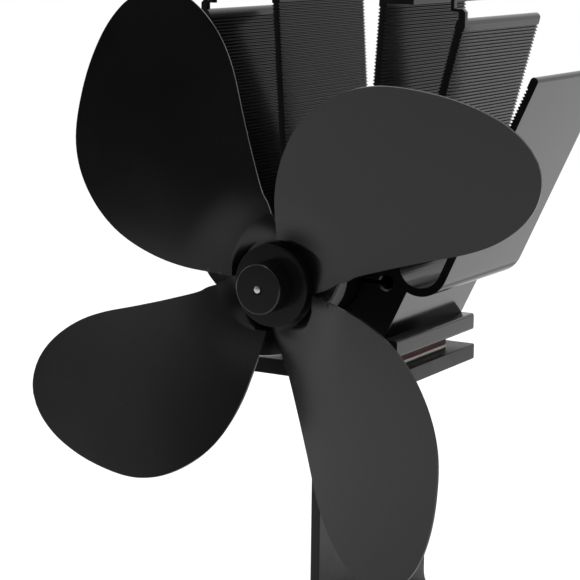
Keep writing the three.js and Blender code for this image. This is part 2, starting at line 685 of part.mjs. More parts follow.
function heatSink() {
  const bar = (points) => extrudeBack(points, SINK_FRONT, SINK_BACK);
  const cutter = (points) => extrudeBack(points, SINK_FRONT - CUT_OVERRUN, SINK_BACK + CUT_OVERRUN);
  const bothSides = (points) => [points, mirrored(points)];
  const foot = roundedRectangle(-SINK_FOOT_WIDTH / 2, SINK_FOOT_WIDTH / 2, SINK_BOTTOM, TRUNK_BOTTOM,
    PLATE_CORNER_RADIUS);
  const trunkInFoot = rectangle(-TRUNK_WIDTH / 2, TRUNK_WIDTH / 2, (SINK_BOTTOM + TRUNK_BOTTOM) / 2,
    TRUNK_BOTTOM + PLATE_CORNER_RADIUS);
  const trunkBody = cutBy(solid(bar(trunk())), bothSides(channelHollow()).map(cutter));
  const housing = circle(0, AXIS_HEIGHT, HOUSING_RADIUS, ROUND_STEPS);
  const outlines = [
    foot,
    trunkInFoot,
    housing,
    ...[innerFin(), innerFinFlange(), middleFin(), outerFin(), channelBand()].flatMap(bothSides),
  ];
  const hooks = bothSides(middleFinHook()).map((points) => extrudeBack(
    points, SINK_FRONT, SINK_FRONT + HOOK_LENGTH));
  const whole = trunkBody.add(joined([...outlines.map(bar), ...hooks]));
  const bore = circle(0, AXIS_HEIGHT, BORE_RADIUS, ROUND_STEPS);
  const ports = [portHole(), portSlot()].flatMap(bothSides);
  const clampHoles = clampPlaces().map(([x, y]) => pin(
    x, y, CLAMP_HOLE_RADIUS, SINK_BOTTOM - CUT_OVERRUN, SINK_BOTTOM + CLAMP_GRIP + CLAMP_TIP_SPACE));
  const setScrewHole = pin(0, SINK_FRONT + SET_SCREW_INSET, SET_SCREW_RADIUS + FIT_GAP, AXIS_HEIGHT,
    overAxis(HOUSING_RADIUS) + CUT_OVERRUN);
  const cut = cutBy(whole, [...[bore, ...ports].map(cutter), ...clampHoles, setScrewHole]);
  return piece('heat_sink', surface(cut), blackAnodised());
}

// Set screw, rear cover and its screws

function motorSetScrew() {
  const bottom = overAxis(MOTOR_RADIUS + FIT_GAP);
  return piece('motor_set_screw',
    pin(0, SINK_FRONT + SET_SCREW_INSET, SET_SCREW_RADIUS, bottom, bottom + SET_SCREW_LENGTH), screwSteel());
}

function rearCover() {
  const back = SINK_BACK + COVER_THICKNESS;
  const port = overAxis(-PORT_UNDER_AXIS);
  const disc = extrudeBack(circle(0, AXIS_HEIGHT, HOUSING_RADIUS, ROUND_STEPS), SINK_BACK, back);
  const quarter = Math.PI / 2;
  const ears = extrudeBack([
    ...arc(PORT_OFFSET, port, COVER_EAR_RADIUS, -quarter, quarter, SCREW_STEPS / 2),
    ...arc(-PORT_OFFSET, port, COVER_EAR_RADIUS, quarter, 3 * quarter, SCREW_STEPS / 2),
  ], SINK_BACK, back);
  const notchHalf = LEAD_ENTRY_OFFSET + LEAD_RADIUS + FIT_GAP;
  const cutter = (points) => extrudeBack(points, SINK_BACK - CUT_OVERRUN, back + CUT_OVERRUN);
  const notch = cutter(rectangle(-notchHalf, notchHalf, overAxis(-HOUSING_RADIUS - CUT_OVERRUN),
    overAxis(-HOUSING_RADIUS + LEAD_RADIUS + COVER_NOTCH_RISE)));
  const screwHoles = [-PORT_OFFSET, PORT_OFFSET].map((x) => cutter(circle(x, port, PORT_RADIUS, SCREW_STEPS)));
  return piece('rear_cover', surface(cutBy(joined([disc, ears]), [notch, ...screwHoles])), paintedCasting());
}

function coverScrew(side, name) {
  const headFront = SINK_BACK + COVER_THICKNESS;
  const x = side * PORT_OFFSET;
  const port = overAxis(-PORT_UNDER_AXIS);
  const head = extrudeBack(circle(x, port, COVER_SCREW_HEAD_RADIUS, SCREW_STEPS), headFront,
    headFront + COVER_SCREW_HEAD_HEIGHT);
  const shank = extrudeBack(circle(x, port, PORT_RADIUS - FIT_GAP, SCREW_STEPS),
    headFront - COVER_SCREW_LENGTH, headFront + COVER_SCREW_HEAD_HEIGHT / 2);
  return piece(name, surface(joined([head, shank])), screwSteel());
}

// Motor

function motorCan() {
  const bossFront = MOTOR_FRONT - CAN_BOSS_LENGTH;
  const can = turned([
    [BUSH_HOLE_RADIUS, bossFront],
    [CAN_BOSS_RADIUS, bossFront],
    [CAN_BOSS_RADIUS, MOTOR_FRONT],
    [MOTOR_RADIUS - CAN_WALL, MOTOR_FRONT],
    [MOTOR_RADIUS, MOTOR_FRONT + CAN_WALL],
    [MOTOR_RADIUS, MOTOR_BACK],
    [CAN_INNER_RADIUS, MOTOR_BACK],
    [CAN_INNER_RADIUS, MOTOR_FRONT + CAN_WALL],
    [BUSH_HOLE_RADIUS, MOTOR_FRONT + CAN_WALL],
  ], ROUND_STEPS);
  return piece('motor_can', onAxis(can), plainSteel());
}

function terminalPlace() {
  return COMMUTATOR_RADIUS + FIT_GAP + BRUSH_LENGTH;
}

function motorEndCap() {
  const plugRadius = CAN_INNER_RADIUS - FIT_GAP;
  const cap = solid(onAxis(turned([
    [BUSH_HOLE_RADIUS, CAP_FRONT],
    [plugRadius, CAP_FRONT],
    [plugRadius, MOTOR_BACK],
    [MOTOR_RADIUS, MOTOR_BACK],
    [MOTOR_RADIUS, CAP_BACK],
    [BUSH_HOLE_RADIUS, CAP_BACK],
  ], ROUND_STEPS)));
  const slotInner = terminalPlace() - TERMINAL_THICKNESS - FIT_GAP;
  const slot = rectangle(slotInner, terminalPlace() + FIT_GAP, overAxis(-BRUSH_WIDTH / 2 - FIT_GAP),
    overAxis(BRUSH_WIDTH / 2 + FIT_GAP));
  const slots = [slot, mirrored(slot)].map((points) => extrudeBack(
    points, CAP_FRONT - CUT_OVERRUN, CAP_BACK + CUT_OVERRUN));
  return piece('motor_end_cap', surface(cutBy(cap, slots)), capPlastic());
}

function bush(name, front) {
  const ring = turnedRing(SHAFT_HOLE_RADIUS, BUSH_RADIUS, front, front + BUSH_LENGTH, INNER_ROUND_STEPS);
  return piece(name, onAxis(ring), sinteredBronze());
}

function magnet(name, middleAngle) {
  const front = (CORE_FRONT + CORE_BACK - MAGNET_LENGTH) / 2;
  const band = arcBand(0, AXIS_HEIGHT, MAGNET_INNER_RADIUS, MAGNET_OUTER_RADIUS,
    middleAngle - MAGNET_HALF_ANGLE, middleAngle + MAGNET_HALF_ANGLE, INNER_ROUND_STEPS / 2);
  return piece(name, extrudeBack(band, front, front + MAGNET_LENGTH), ferrite());
}

function brush(name, side) {
  const outer = terminalPlace();
  const middle = (COMMUTATOR_FRONT + COMMUTATOR_BACK) / 2;
  const faceBottom = overAxis(-BRUSH_WIDTH / 2);
  const faceTop = overAxis(BRUSH_WIDTH / 2);
  const range = (inner) => (side > 0 ? [inner, outer] : [-outer, -inner]);
  const block = extrudeBack(rectangle(...range(COMMUTATOR_RADIUS + FIT_GAP), faceBottom, faceTop),
    middle - BRUSH_WIDTH / 2, middle + BRUSH_WIDTH / 2);
  const strip = extrudeBack(rectangle(...range(outer - TERMINAL_THICKNESS), faceBottom, faceTop),
    middle, TERMINAL_BACK);
  return piece(name, surface(joined([block, strip])), copper());
}

// Turning group: shaft, armature, hub and blades, about the motor axis

function motorShaft() {
  const front = HUB_FRONT - SHAFT_PROUD;
  const shaft = turned([[0, front], [SHAFT_RADIUS, front], [SHAFT_RADIUS, CAP_BACK], [0, CAP_BACK]],
    INNER_ROUND_STEPS / 2);
  return piece('motor_shaft', onAxis(shaft), plainSteel());
}

function poleAngle(index) {
  return Math.PI / 2 + index * 2 * Math.PI / POLE_COUNT;
}

function turnedOutline(points, angle) {
  const cosine = Math.cos(angle);
  const sine = Math.sin(angle);
  return points.map(([x, y]) => [x * cosine - y * sine, AXIS_HEIGHT + x * sine + y * cosine]);
}

function armatureCore() {
  const parts = [extrudeBack(circle(0, AXIS_HEIGHT, CORE_HUB_RADIUS, INNER_ROUND_STEPS), CORE_FRONT, CORE_BACK)];
  for (let i = 0; i < POLE_COUNT; i += 1) {
    const neck = rectangle(0, (SHOE_INNER_RADIUS + CORE_RADIUS) / 2, -POLE_NECK_WIDTH / 2, POLE_NECK_WIDTH / 2);
    const shoe = arcBand(0, 0, SHOE_INNER_RADIUS, CORE_RADIUS, -POLE_HALF_ANGLE, POLE_HALF_ANGLE, POLE_STEPS);
    for (const points of [neck, shoe]) {
      parts.push(extrudeBack(turnedOutline(points, poleAngle(i)), CORE_FRONT, CORE_BACK));
    }
  }
  const shaftHole = extrudeBack(circle(0, AXIS_HEIGHT, SHAFT_HOLE_RADIUS, INNER_ROUND_STEPS),
    CORE_FRONT - CUT_OVERRUN, CORE_BACK + CUT_OVERRUN);
  return piece('armature_core', surface(cutBy(joined(parts), [shaftHole])), coreSteel());
}

function coil(index) {
  const holeHalf = POLE_NECK_WIDTH / 2 + FIT_GAP;
  const outerHalf = holeHalf + COIL_WALL;
  const inner = CORE_HUB_RADIUS + FIT_GAP;
  const outer = Math.sqrt(SHOE_INNER_RADIUS ** 2 - outerHalf ** 2) - FIT_GAP;
  const angle = poleAngle(index);
  const block = extrudeBack(turnedOutline(rectangle(inner, outer, -outerHalf, outerHalf), angle),
    CORE_FRONT - COIL_OVERHANG, CORE_BACK + COIL_OVERHANG);
  const hole = extrudeBack(
    turnedOutline(rectangle(inner - CUT_OVERRUN, outer + CUT_OVERRUN, -holeHalf, holeHalf), angle),
    CORE_FRONT - FIT_GAP, CORE_BACK + FIT_GAP);
  return piece(`coil_${index + 1}`, surface(cutBy(solid(block), [hole])), copper());
}

function commutator() {
  const ring = turnedRing(SHAFT_HOLE_RADIUS, COMMUTATOR_RADIUS, COMMUTATOR_FRONT, COMMUTATOR_BACK,
    INNER_ROUND_STEPS);
  return piece('commutator', onAxis(ring), copper());
}

function fanHub() {
  const hub = turned([
    [SHAFT_HOLE_RADIUS, HUB_FRONT],
    [BOSS_RADIUS - BOSS_CHAMFER, HUB_FRONT],
    [BOSS_RADIUS, HUB_FRONT + BOSS_CHAMFER],
    [BOSS_RADIUS, HUB_FLANGE_FRONT],
    [HUB_FLANGE_RADIUS - HUB_FLANGE_CHAMFER, HUB_FLANGE_FRONT],
    [HUB_FLANGE_RADIUS, HUB_FLANGE_FRONT + HUB_FLANGE_CHAMFER],
    [HUB_FLANGE_RADIUS, SHEET_FRONT],
    [SPIGOT_RADIUS, SHEET_FRONT],
    [SPIGOT_RADIUS, HUB_WASHER_BACK + SPIGOT_PROUD],
    [SHAFT_HOLE_RADIUS, HUB_WASHER_BACK + SPIGOT_PROUD],
  ], ROUND_STEPS);
  return piece('fan_hub', onAxis(hub), hubMetal());
}

function hubWasher() {
  const ring = turnedRing(SPIGOT_RADIUS + FIT_GAP, HUB_WASHER_RADIUS, SHEET_BACK, HUB_WASHER_BACK, ROUND_STEPS);
  return piece('hub_washer', onAxis(ring), hubMetal());
}

function bladeLift(along, across) {
  const halfSpan = BLADE_HALF_SPAN_SHARE * BLADE_TIP_RADIUS;
  const u = (along - BLADE_MIDDLE_SHARE * BLADE_TIP_RADIUS) / halfSpan;
  const v = across / halfSpan;
  const share = CONE_SHARE * u + PITCH_SHARE * v + TWIST_SHARE * u * v + CHORD_CAMBER_SHARE * v * v
    + SPAN_CAMBER_SHARE * u * u + TIP_PITCH_SHARE * u * u * v + TIP_CAMBER_SHARE * u * v * v;
  return BLADE_RISE + halfSpan * share;
}

const BLADE_SPACING = 2 * Math.PI / BLADE_COUNT;
const BLADE_STATIONS = new THREE.CatmullRomCurve3(BLADE_STATION_SHARES.map(([share, leading, trailing]) => (
  new THREE.Vector3(share, THREE.MathUtils.degToRad(leading), THREE.MathUtils.degToRad(trailing))
)), false, 'catmullrom');

function creaseRadius(share) {
  const { lerp } = THREE.MathUtils;
  const [leading, drawn, trailing] = CREASE_SHARES;
  const reach = BLADE_TIP_RADIUS * lerp(lerp(leading, drawn, share), lerp(drawn, trailing, share), share);
  return Math.max(reach, NOTCH_TIP_RADIUS + BLADE_THICKNESS);
}

// Places on the sheet as [radius, angle from the blade's middle line, lift], by row and by share of the way from
// the leading edge to the trailing edge. On the flat centre row 0 is the edge of the hole, and row 1 a ring
// through the notches' tips. On a blade row 0 is the crease, and the last row the tip.

function centrePlace(row, share) {
  const radius = row === 0 ? SPIGOT_RADIUS + FIT_GAP : NOTCH_TIP_RADIUS;
  return [radius, THREE.MathUtils.lerp(-BLADE_SPACING / 2, BLADE_SPACING / 2, share), 0];
}

function bladePlace(row, share) {
  const station = BLADE_STATIONS.getPoint(row / BLADE_ROWS);
  const reach = station.x * BLADE_TIP_RADIUS;
  const firstReach = BLADE_STATION_SHARES[0][0] * BLADE_TIP_RADIUS;
  const fade = 1 - THREE.MathUtils.smoothstep(reach - firstReach, 0, CREASE_FADE_LENGTH);
  const radius = reach + (creaseRadius(share) - firstReach) * fade;
  const angle = THREE.MathUtils.lerp(station.y, station.z, share);
  const flatness = Math.max(1 - (radius - creaseRadius(share)) / BLADE_BEND_LENGTH, 0);
  const lift = (1 - flatness ** 2) * bladeLift(radius * Math.cos(angle), radius * Math.sin(angle));
  return [radius, angle, lift];
}

// A point of the sheet's middle surface
function sheetPoint(blade, row, column) {
  const share = column / BLADE_COLUMNS;
  const [radius, angle, lift] = row < CENTRE_ROWS
    ? centrePlace(row, share)
    : bladePlace(row - CENTRE_ROWS, share);
  const turn = BLADE_ANGLE + blade * BLADE_SPACING + angle;
  return new THREE.Vector3(radius * Math.cos(turn), (SHEET_FRONT + SHEET_BACK) / 2 - lift,
    AXIS_HEIGHT + radius * Math.sin(turn));
}

function fanBlades() {
  const half = BLADE_THICKNESS / 2;
  const front = (point) => [point.x, point.y - half, point.z];
  const back = (point) => [point.x, point.y + half, point.z];
  const corners = [];
  const wall = (from, to) => {
    corners.push(front(to), front(from), back(from), front(to), back(from), back(to));
  };
  for (let blade = 0; blade < BLADE_COUNT; blade += 1) {
    const lastRow = CENTRE_ROWS + BLADE_ROWS;
    const at = (row, column) => sheetPoint(blade, row, column);
    for (let row = 0; row < lastRow; row += 1) {
      for (let column = 0; column < BLADE_COLUMNS; column += 1) {
        const [a, b, c, d] = [
          at(row, column), at(row + 1, column), at(row + 1, column + 1), at(row, column + 1),
        ];
        corners.push(...[a, b, c, a, c, d].map(front), ...[a, c, b, a, d, c].map(back));
        if (row === 0) wall(d, a);
        if (row === lastRow - 1) wall(b, c);
      }
      if (row > 0) {
        wall(at(row, 0), at(row + 1, 0));
        wall(at(row + 1, BLADE_COLUMNS), at(row, BLADE_COLUMNS));
      }
    }
  }
  const geometry = new THREE.BufferGeometry();
  geometry.setAttribute('position', new THREE.Float32BufferAttribute(corners.flat(), 3));
  const merged = mergeVertices(geometry);
  merged.computeVertexNormals();
  return piece('fan_blades', merged, bladePaint());
}

// Leads

// Straight runs between the points, with each corner rounded. A bend may take all of the first or the last run,
// and half of any other.
function roundedRoute(points, radius) {
  const route = new THREE.CurvePath();
  let last = points[0];
  for (let i = 1; i < points.length - 1; i += 1) {
    const corner = points[i];
    const inRun = corner.distanceTo(points[i - 1]);
    const outRun = corner.distanceTo(points[i + 1]);
    const trim = Math.min(radius, i === 1 ? inRun : inRun / 2, i === points.length - 2 ? outRun : outRun / 2);
    const enter = corner.clone().lerp(points[i - 1], trim / inRun);
    const leave = corner.clone().lerp(points[i + 1], trim / outRun);
    if (last.distanceTo(enter) > 0) route.add(new THREE.LineCurve3(last, enter));
    route.add(new THREE.CubicBezierCurve3(enter, enter.clone().lerp(corner, LEAD_BEND_HANDLE_SHARE),
      leave.clone().lerp(corner, LEAD_BEND_HANDLE_SHARE), leave));
    last = leave;
  }
  route.add(new THREE.LineCurve3(last, points.at(-1)));
  return route;
}

// From the module's left side along the gap, round to the back, up the sink and through the cover's notch to a
// terminal. The two leads lie one above the other in the gap, and side by side in the notch.
function leadRoute(level, side) {
  const exitX = -MODULE_WIDTH / 2 - FIT_GAP;
  const sideX = exitX - LEAD_BEND_RADIUS;
  const exitY = SINK_CENTRE_Y - MODULE_DEPTH / 2 + LEAD_EXIT_FROM_FRONT;
  const gapZ = TOP_PLATE_TOP + LEAD_STACK_HEIGHT + level * LEAD_STACK_STEP;
  const behindY = SINK_BACK + FIT_GAP + LEAD_RADIUS;
  const entryX = side * LEAD_ENTRY_OFFSET;
  const entryZ = AXIS_HEIGHT - LEAD_ENTRY_UNDER_AXIS;
  const terminalX = side * (terminalPlace() - TERMINAL_THICKNESS / 2);
  return [
    [exitX, exitY, gapZ],
    [sideX, exitY, gapZ],
    [sideX, behindY, gapZ],
    [entryX, behindY, gapZ],
    [entryX, behindY, entryZ],
    [entryX, TERMINAL_BACK + LEAD_CAP_SPACE, entryZ],
    [terminalX, TERMINAL_BACK + LEAD_CAP_SPACE / 2, AXIS_HEIGHT],
    [terminalX, TERMINAL_BACK + FIT_GAP, AXIS_HEIGHT],
  ].map((point) => new THREE.Vector3(...point));
}

function lead(name, level, side, color) {
  const section = new THREE.Shape(circle(0, 0, LEAD_RADIUS, LEAD_SIDES).map(([x, y]) => new THREE.Vector2(x, y)));
  const tube = new THREE.ExtrudeGeometry(section, {
    steps: LEAD_STEPS,
    extrudePath: roundedRoute(leadRoute(level, side), LEAD_BEND_RADIUS),
  });
  return piece(name, tube, leadCover(color));
}

// Assembly

function stand() {
  const group = new THREE.Group();
  group.add(baseStand(), ...moduleLayers(), moduleSeal(), heatSink());
  clampPlaces().forEach(([x, y], i) => group.add(clampScrew(x, y, i + 1), clampWasher(x, y, i + 1)));
  group.add(motorCan(), motorEndCap(), motorSetScrew(), rearCover());
  group.add(coverScrew(-1, 'cover_screw_left'), coverScrew(1, 'cover_screw_right'));
  group.add(magnet('magnet_left', Math.PI), magnet('magnet_right', 0));
  group.add(bush('bush_front', MOTOR_FRONT - CAN_BOSS_LENGTH), bush('bush_rear', CAP_BACK - BUSH_LENGTH));
  group.add(brush('brush_left', -1), brush('brush_right', 1));
  group.add(lead('lead_red', 1, -1, 0xa02420), lead('lead_black', 0, 1, 0x1c1c1c));
  return group;
}

function fan() {
  const group = new THREE.Group();
  group.add(motorShaft(), armatureCore(), commutator(), fanHub(), hubWasher(), fanBlades());
  for (let i = 0; i < POLE_COUNT; i += 1) group.add(coil(i));
  return group;
}

const stoveFan = new THREE.Group();
stoveFan.add(stand(), fan());

export default stoveFan;
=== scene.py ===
import math
from functools import partial

import bmesh
import bpy
from mathutils import Matrix, Vector
from mathutils.geometry import delaunay_2d_cdt


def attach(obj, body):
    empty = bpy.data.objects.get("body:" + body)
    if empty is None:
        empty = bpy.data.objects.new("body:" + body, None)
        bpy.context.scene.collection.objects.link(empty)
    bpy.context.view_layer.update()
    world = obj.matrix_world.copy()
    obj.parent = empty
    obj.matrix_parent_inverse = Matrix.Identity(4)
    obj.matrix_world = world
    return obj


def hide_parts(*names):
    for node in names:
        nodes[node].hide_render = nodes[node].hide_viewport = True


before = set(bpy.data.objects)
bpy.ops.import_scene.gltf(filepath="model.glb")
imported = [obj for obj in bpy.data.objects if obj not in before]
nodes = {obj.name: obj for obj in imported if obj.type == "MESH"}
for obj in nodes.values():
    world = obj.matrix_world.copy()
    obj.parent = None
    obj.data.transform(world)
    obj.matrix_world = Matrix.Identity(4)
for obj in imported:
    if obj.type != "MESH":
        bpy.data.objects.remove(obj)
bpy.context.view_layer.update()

# Sizes in millimetres, nearly all as in the part's source. A mesh is scaled to metres as it is made
MM = 0.001
FIT_GAP = 0.3
OVERRUN = 1.0

FOOT_WIDTH, FOOT_DEPTH, FOOT_THICKNESS, FOOT_CORNER = 60.0, 90.0, 4.0, 8.0
WEB_THICKNESS, WEB_DEPTH, WEB_HEIGHT = 3.0, 70.4, 83.3
WEB_FLARE, WEB_SHOULDER, WEB_FILLET = 8.0, 29.0, 2.5
PLATE_MARGIN, PLATE_THICKNESS, PLATE_CORNER = 1.2, 4.7, 0.8
MODULE_WIDTH, MODULE_DEPTH, MODULE_CORNER = 40.0, 30.0, 0.4
PAD, CERAMIC, COUPLES, SEAL = 0.5, 0.8, 2.0, 1.2

SINK_CENTRE_Y, SINK_DEPTH = -6.0, 51.3
PLATE_DEPTH = SINK_DEPTH + 2 * PLATE_MARGIN
PLATE_FRONT, PLATE_BACK = SINK_CENTRE_Y - PLATE_DEPTH / 2, SINK_CENTRE_Y + PLATE_DEPTH / 2
SINK_FOOT_WIDTH, SINK_FOOT_THICKNESS = 48.3, 5.1
AXIS_OVER_FOOT, HOUSING_WALL = 18.3, 2.5
TRUNK_WIDTH, TRUNK_TOP = 39.6, 3.0
CHANNEL_OFFSET, CHANNEL_RISE, CHANNEL_RADIUS = 30.8, 4.4, 9.0
OUTER_LEAN, OUTER_THICKNESS, OUTER_TIP = math.radians(24.7), 2.4, 59.0
MIDDLE_OFFSET, MIDDLE_LEAN, MIDDLE_THICKNESS, MIDDLE_TIP = 22.5, math.radians(14.7), 2.9, 74.0
INNER_OFFSET, INNER_LEAN, INNER_THICKNESS, INNER_TIP = 12.2, math.radians(3.9), 2.6, 79.8
RIB_PITCH, RIB_DEPTH, RIBS_FROM, PLAIN_TIP = 1.0, 0.45, 15.0, 2.5
RIB_SHARES = (0.33, 0.5, 0.8, 1.0)
FLANGE_REACH, FLANGE_THICKNESS = 27.1, 2.4
HOOK_NECK, HOOK_NECK_HEIGHT, HOOK_REACH, HOOK_LENGTH = 2.1, 2.8, 4.5, 1.8
HOOK_SHELF, HOOK_LIP, HOOK_LIP_HEIGHT = 0.9, 1.1, 2.9
PORT_OFFSET, PORT_UNDER_AXIS, PORT_RADIUS, PORT_SLOT = 20.2, 1.6, 2.0, 1.2
MOUTH_RADIUS, MOUTH_OVERRUN, MOUTH_DEPTH = 2.6, 0.1, 0.5
CLAMP_X, CLAMP_Y, CLAMP_RADIUS = 13.0, 20.5, 1.5
CLAMP_HEAD_RADIUS, CLAMP_HEAD_HEIGHT, CLAMP_GRIP = 2.75, 2.0, 6.5
CLAMP_SOCKET_RADIUS, CLAMP_SOCKET_DEPTH, CLAMP_TIP_SPACE = 1.25, 1.3, 0.8
WASHER_RADIUS, WASHER_THICKNESS = 3.6, 1.0
SET_SCREW_RADIUS, SET_SCREW_LENGTH, SET_SCREW_INSET = 1.5, 3.4, 5.5
COVER_THICKNESS, COVER_EAR, COVER_NOTCH_RISE = 1.5, 3.8, 5.5
COVER_HEAD_RADIUS, COVER_HEAD_HEIGHT, COVER_SCREW_LENGTH = 3.0, 1.8, 8.0
COVER_SOCKET_RADIUS, COVER_SOCKET_DEPTH = 1.25, 1.1
THREAD_PITCH, THREAD_DEPTH, HALF_CREST, THREAD_POINT = 0.5, 0.22, 0.1, 0.3

MOTOR_RADIUS, MOTOR_LENGTH, MOTOR_PROUD, CAN_WALL = 12.2, 27.0, 16.0, 0.9
CAN_BOSS_RADIUS, CAN_BOSS_LENGTH, BUSH_RADIUS = 4.2, 1.6, 2.6
CAN_BARE_LENGTH, CAN_BLACK_FADE = 7.25, 0.2
CAP_THICKNESS, TERMINAL_PROUD, TERMINAL_THICKNESS = 2.0, 3.0, 0.7
COMMUTATOR_RADIUS, BRUSH_LENGTH = 2.5, 3.4
SHAFT_RADIUS, SHAFT_PROUD, SHAFT_GAP = 1.0, 0.3, 0.02
HUB_PROUD, BOSS_RADIUS, BOSS_LENGTH = 37.6, 7.1, 6.9
HUB_FLANGE_RADIUS, HUB_FLANGE_THICKNESS = 11.7, 3.2
SPIGOT_RADIUS, SPIGOT_PROUD = 4.3, 0.5
HUB_WASHER_RADIUS, HUB_WASHER_THICKNESS = 9.5, 1.0
TIP_RADIUS, BLADE_THICKNESS, BLADE_ANGLE = 90.0, 0.8, math.radians(37.1)
BLADE_RISE, CREASE_FADE = 7.6, 14.0

LEAD_RADIUS, LEAD_BEND, BEND_HANDLE = 0.75, 3.1, 0.5523
LEAD_STACK_HEIGHT, LEAD_STACK_STEP = 1.9, 1.75
LEAD_EXIT, LEAD_ENTRY_DROP, LEAD_ENTRY_OFFSET, LEAD_CAP_SPACE = 4.0, 9.4, 1.15, 9.0

PLATE_BOTTOM = FOOT_THICKNESS + WEB_HEIGHT
PLATE_TOP = PLATE_BOTTOM + PLATE_THICKNESS
WASHER_BOTTOM = PLATE_BOTTOM + CLAMP_HEAD_HEIGHT
WASHER_TOP = WASHER_BOTTOM + WASHER_THICKNESS
HOT_BOTTOM = PLATE_TOP + PAD
COUPLES_BOTTOM = HOT_BOTTOM + CERAMIC
COLD_BOTTOM = COUPLES_BOTTOM + COUPLES
COLD_PAD_BOTTOM = COLD_BOTTOM + CERAMIC
SINK_BOTTOM = COLD_PAD_BOTTOM + PAD
TRUNK_BOTTOM = SINK_BOTTOM + SINK_FOOT_THICKNESS
AXIS = TRUNK_BOTTOM + AXIS_OVER_FOOT
SINK_FRONT = SINK_CENTRE_Y - SINK_DEPTH / 2
SINK_BACK = SINK_CENTRE_Y + SINK_DEPTH / 2
HUB_FRONT = SINK_FRONT - HUB_PROUD
FLANGE_FRONT = HUB_FRONT + BOSS_LENGTH
SHEET_FRONT = FLANGE_FRONT + HUB_FLANGE_THICKNESS
SHEET_BACK = SHEET_FRONT + BLADE_THICKNESS
WASHER_BACK = SHEET_BACK + HUB_WASHER_THICKNESS
MOTOR_FRONT = SINK_FRONT - MOTOR_PROUD
MOTOR_BACK = MOTOR_FRONT + MOTOR_LENGTH
CAP_BACK = MOTOR_BACK + CAP_THICKNESS
TERMINAL_BACK = CAP_BACK + TERMINAL_PROUD
BORE_RADIUS = MOTOR_RADIUS + FIT_GAP
HOUSING_RADIUS = BORE_RADIUS + HOUSING_WALL
BORED = SHAFT_RADIUS + SHAFT_GAP

# How finely curves are drawn, how far edges are rounded, and how near points are joined
TURN_STEPS, ARC_STEPS, CORNER_STEPS, RIM_STEPS, SHOULDER_STEPS, BEND_STEPS = 96, 24, 6, 2, 20, 12
SAWN_RIM, CAST_RIM, PLATE_RIM, SHEET_RIM = 0.16, 0.8, 0.35, 0.2
PAD_RIM, CERAMIC_RIM, SEAL_RIM, COVER_RIM = 0.1, 0.08, 0.3, 0.3
CAN_EDGE, HUB_EDGE, SHAFT_EDGE, HUB_WASHER_EDGE, WASHER_EDGE, HEAD_EDGE = 0.8, 0.5, 0.15, 0.2, 0.12, 0.4
WELD, SHARP_ANGLE, RIM_ANGLE, MITRE_LIMIT = 1e-4, math.radians(35), math.radians(60), 0.35


def assign(thing, **settings):
    """Gives a thing of Blender's these settings."""
    for key, value in settings.items():
        setattr(thing, key, value)
    return thing


def placed(name, data):
    """A new object with this data, in the scene."""
    made = bpy.data.objects.new(name, data)
    bpy.context.scene.collection.objects.link(made)
    return made


# Camera, as fitted to the photograph: the fit's origin is on the motor axis at the sink's front

YAW, PITCH, ROLL = math.radians(30.28), math.radians(10.36), math.radians(-0.656)
FOCUS_PIXELS, FRAME_PIXELS, SENSOR = 2067.0, 580.0, 36.0
AIM = (9.983, 5.790, 600.48)
CLIP_START, CLIP_END = 0.01, 60


def add_camera():
    right = Vector((math.cos(YAW), math.sin(YAW), 0))
    back = Vector((math.sin(YAW) * math.cos(PITCH), -math.cos(YAW) * math.cos(PITCH), math.sin(PITCH)))
    up = back.cross(right)
    place = Vector((0, SINK_FRONT, AXIS)) - AIM[0] * right - AIM[1] * up + AIM[2] * back
    turned_right = right * math.cos(ROLL) - up * math.sin(ROLL)
    turned_up = right * math.sin(ROLL) + up * math.cos(ROLL)
    camera = placed("camera", assign(
        bpy.data.cameras.new("camera"), sensor_width=SENSOR, lens=SENSOR * FOCUS_PIXELS / FRAME_PIXELS,
        clip_start=CLIP_START, clip_end=CLIP_END))
    turn = Matrix((turned_right, turned_up, back)).transposed()
    camera.matrix_world = Matrix.Translation(place * MM) @ turn.to_4x4()
    bpy.context.scene.camera = camera


add_camera()


# Materials: each one is built from nodes in the object's own coordinates

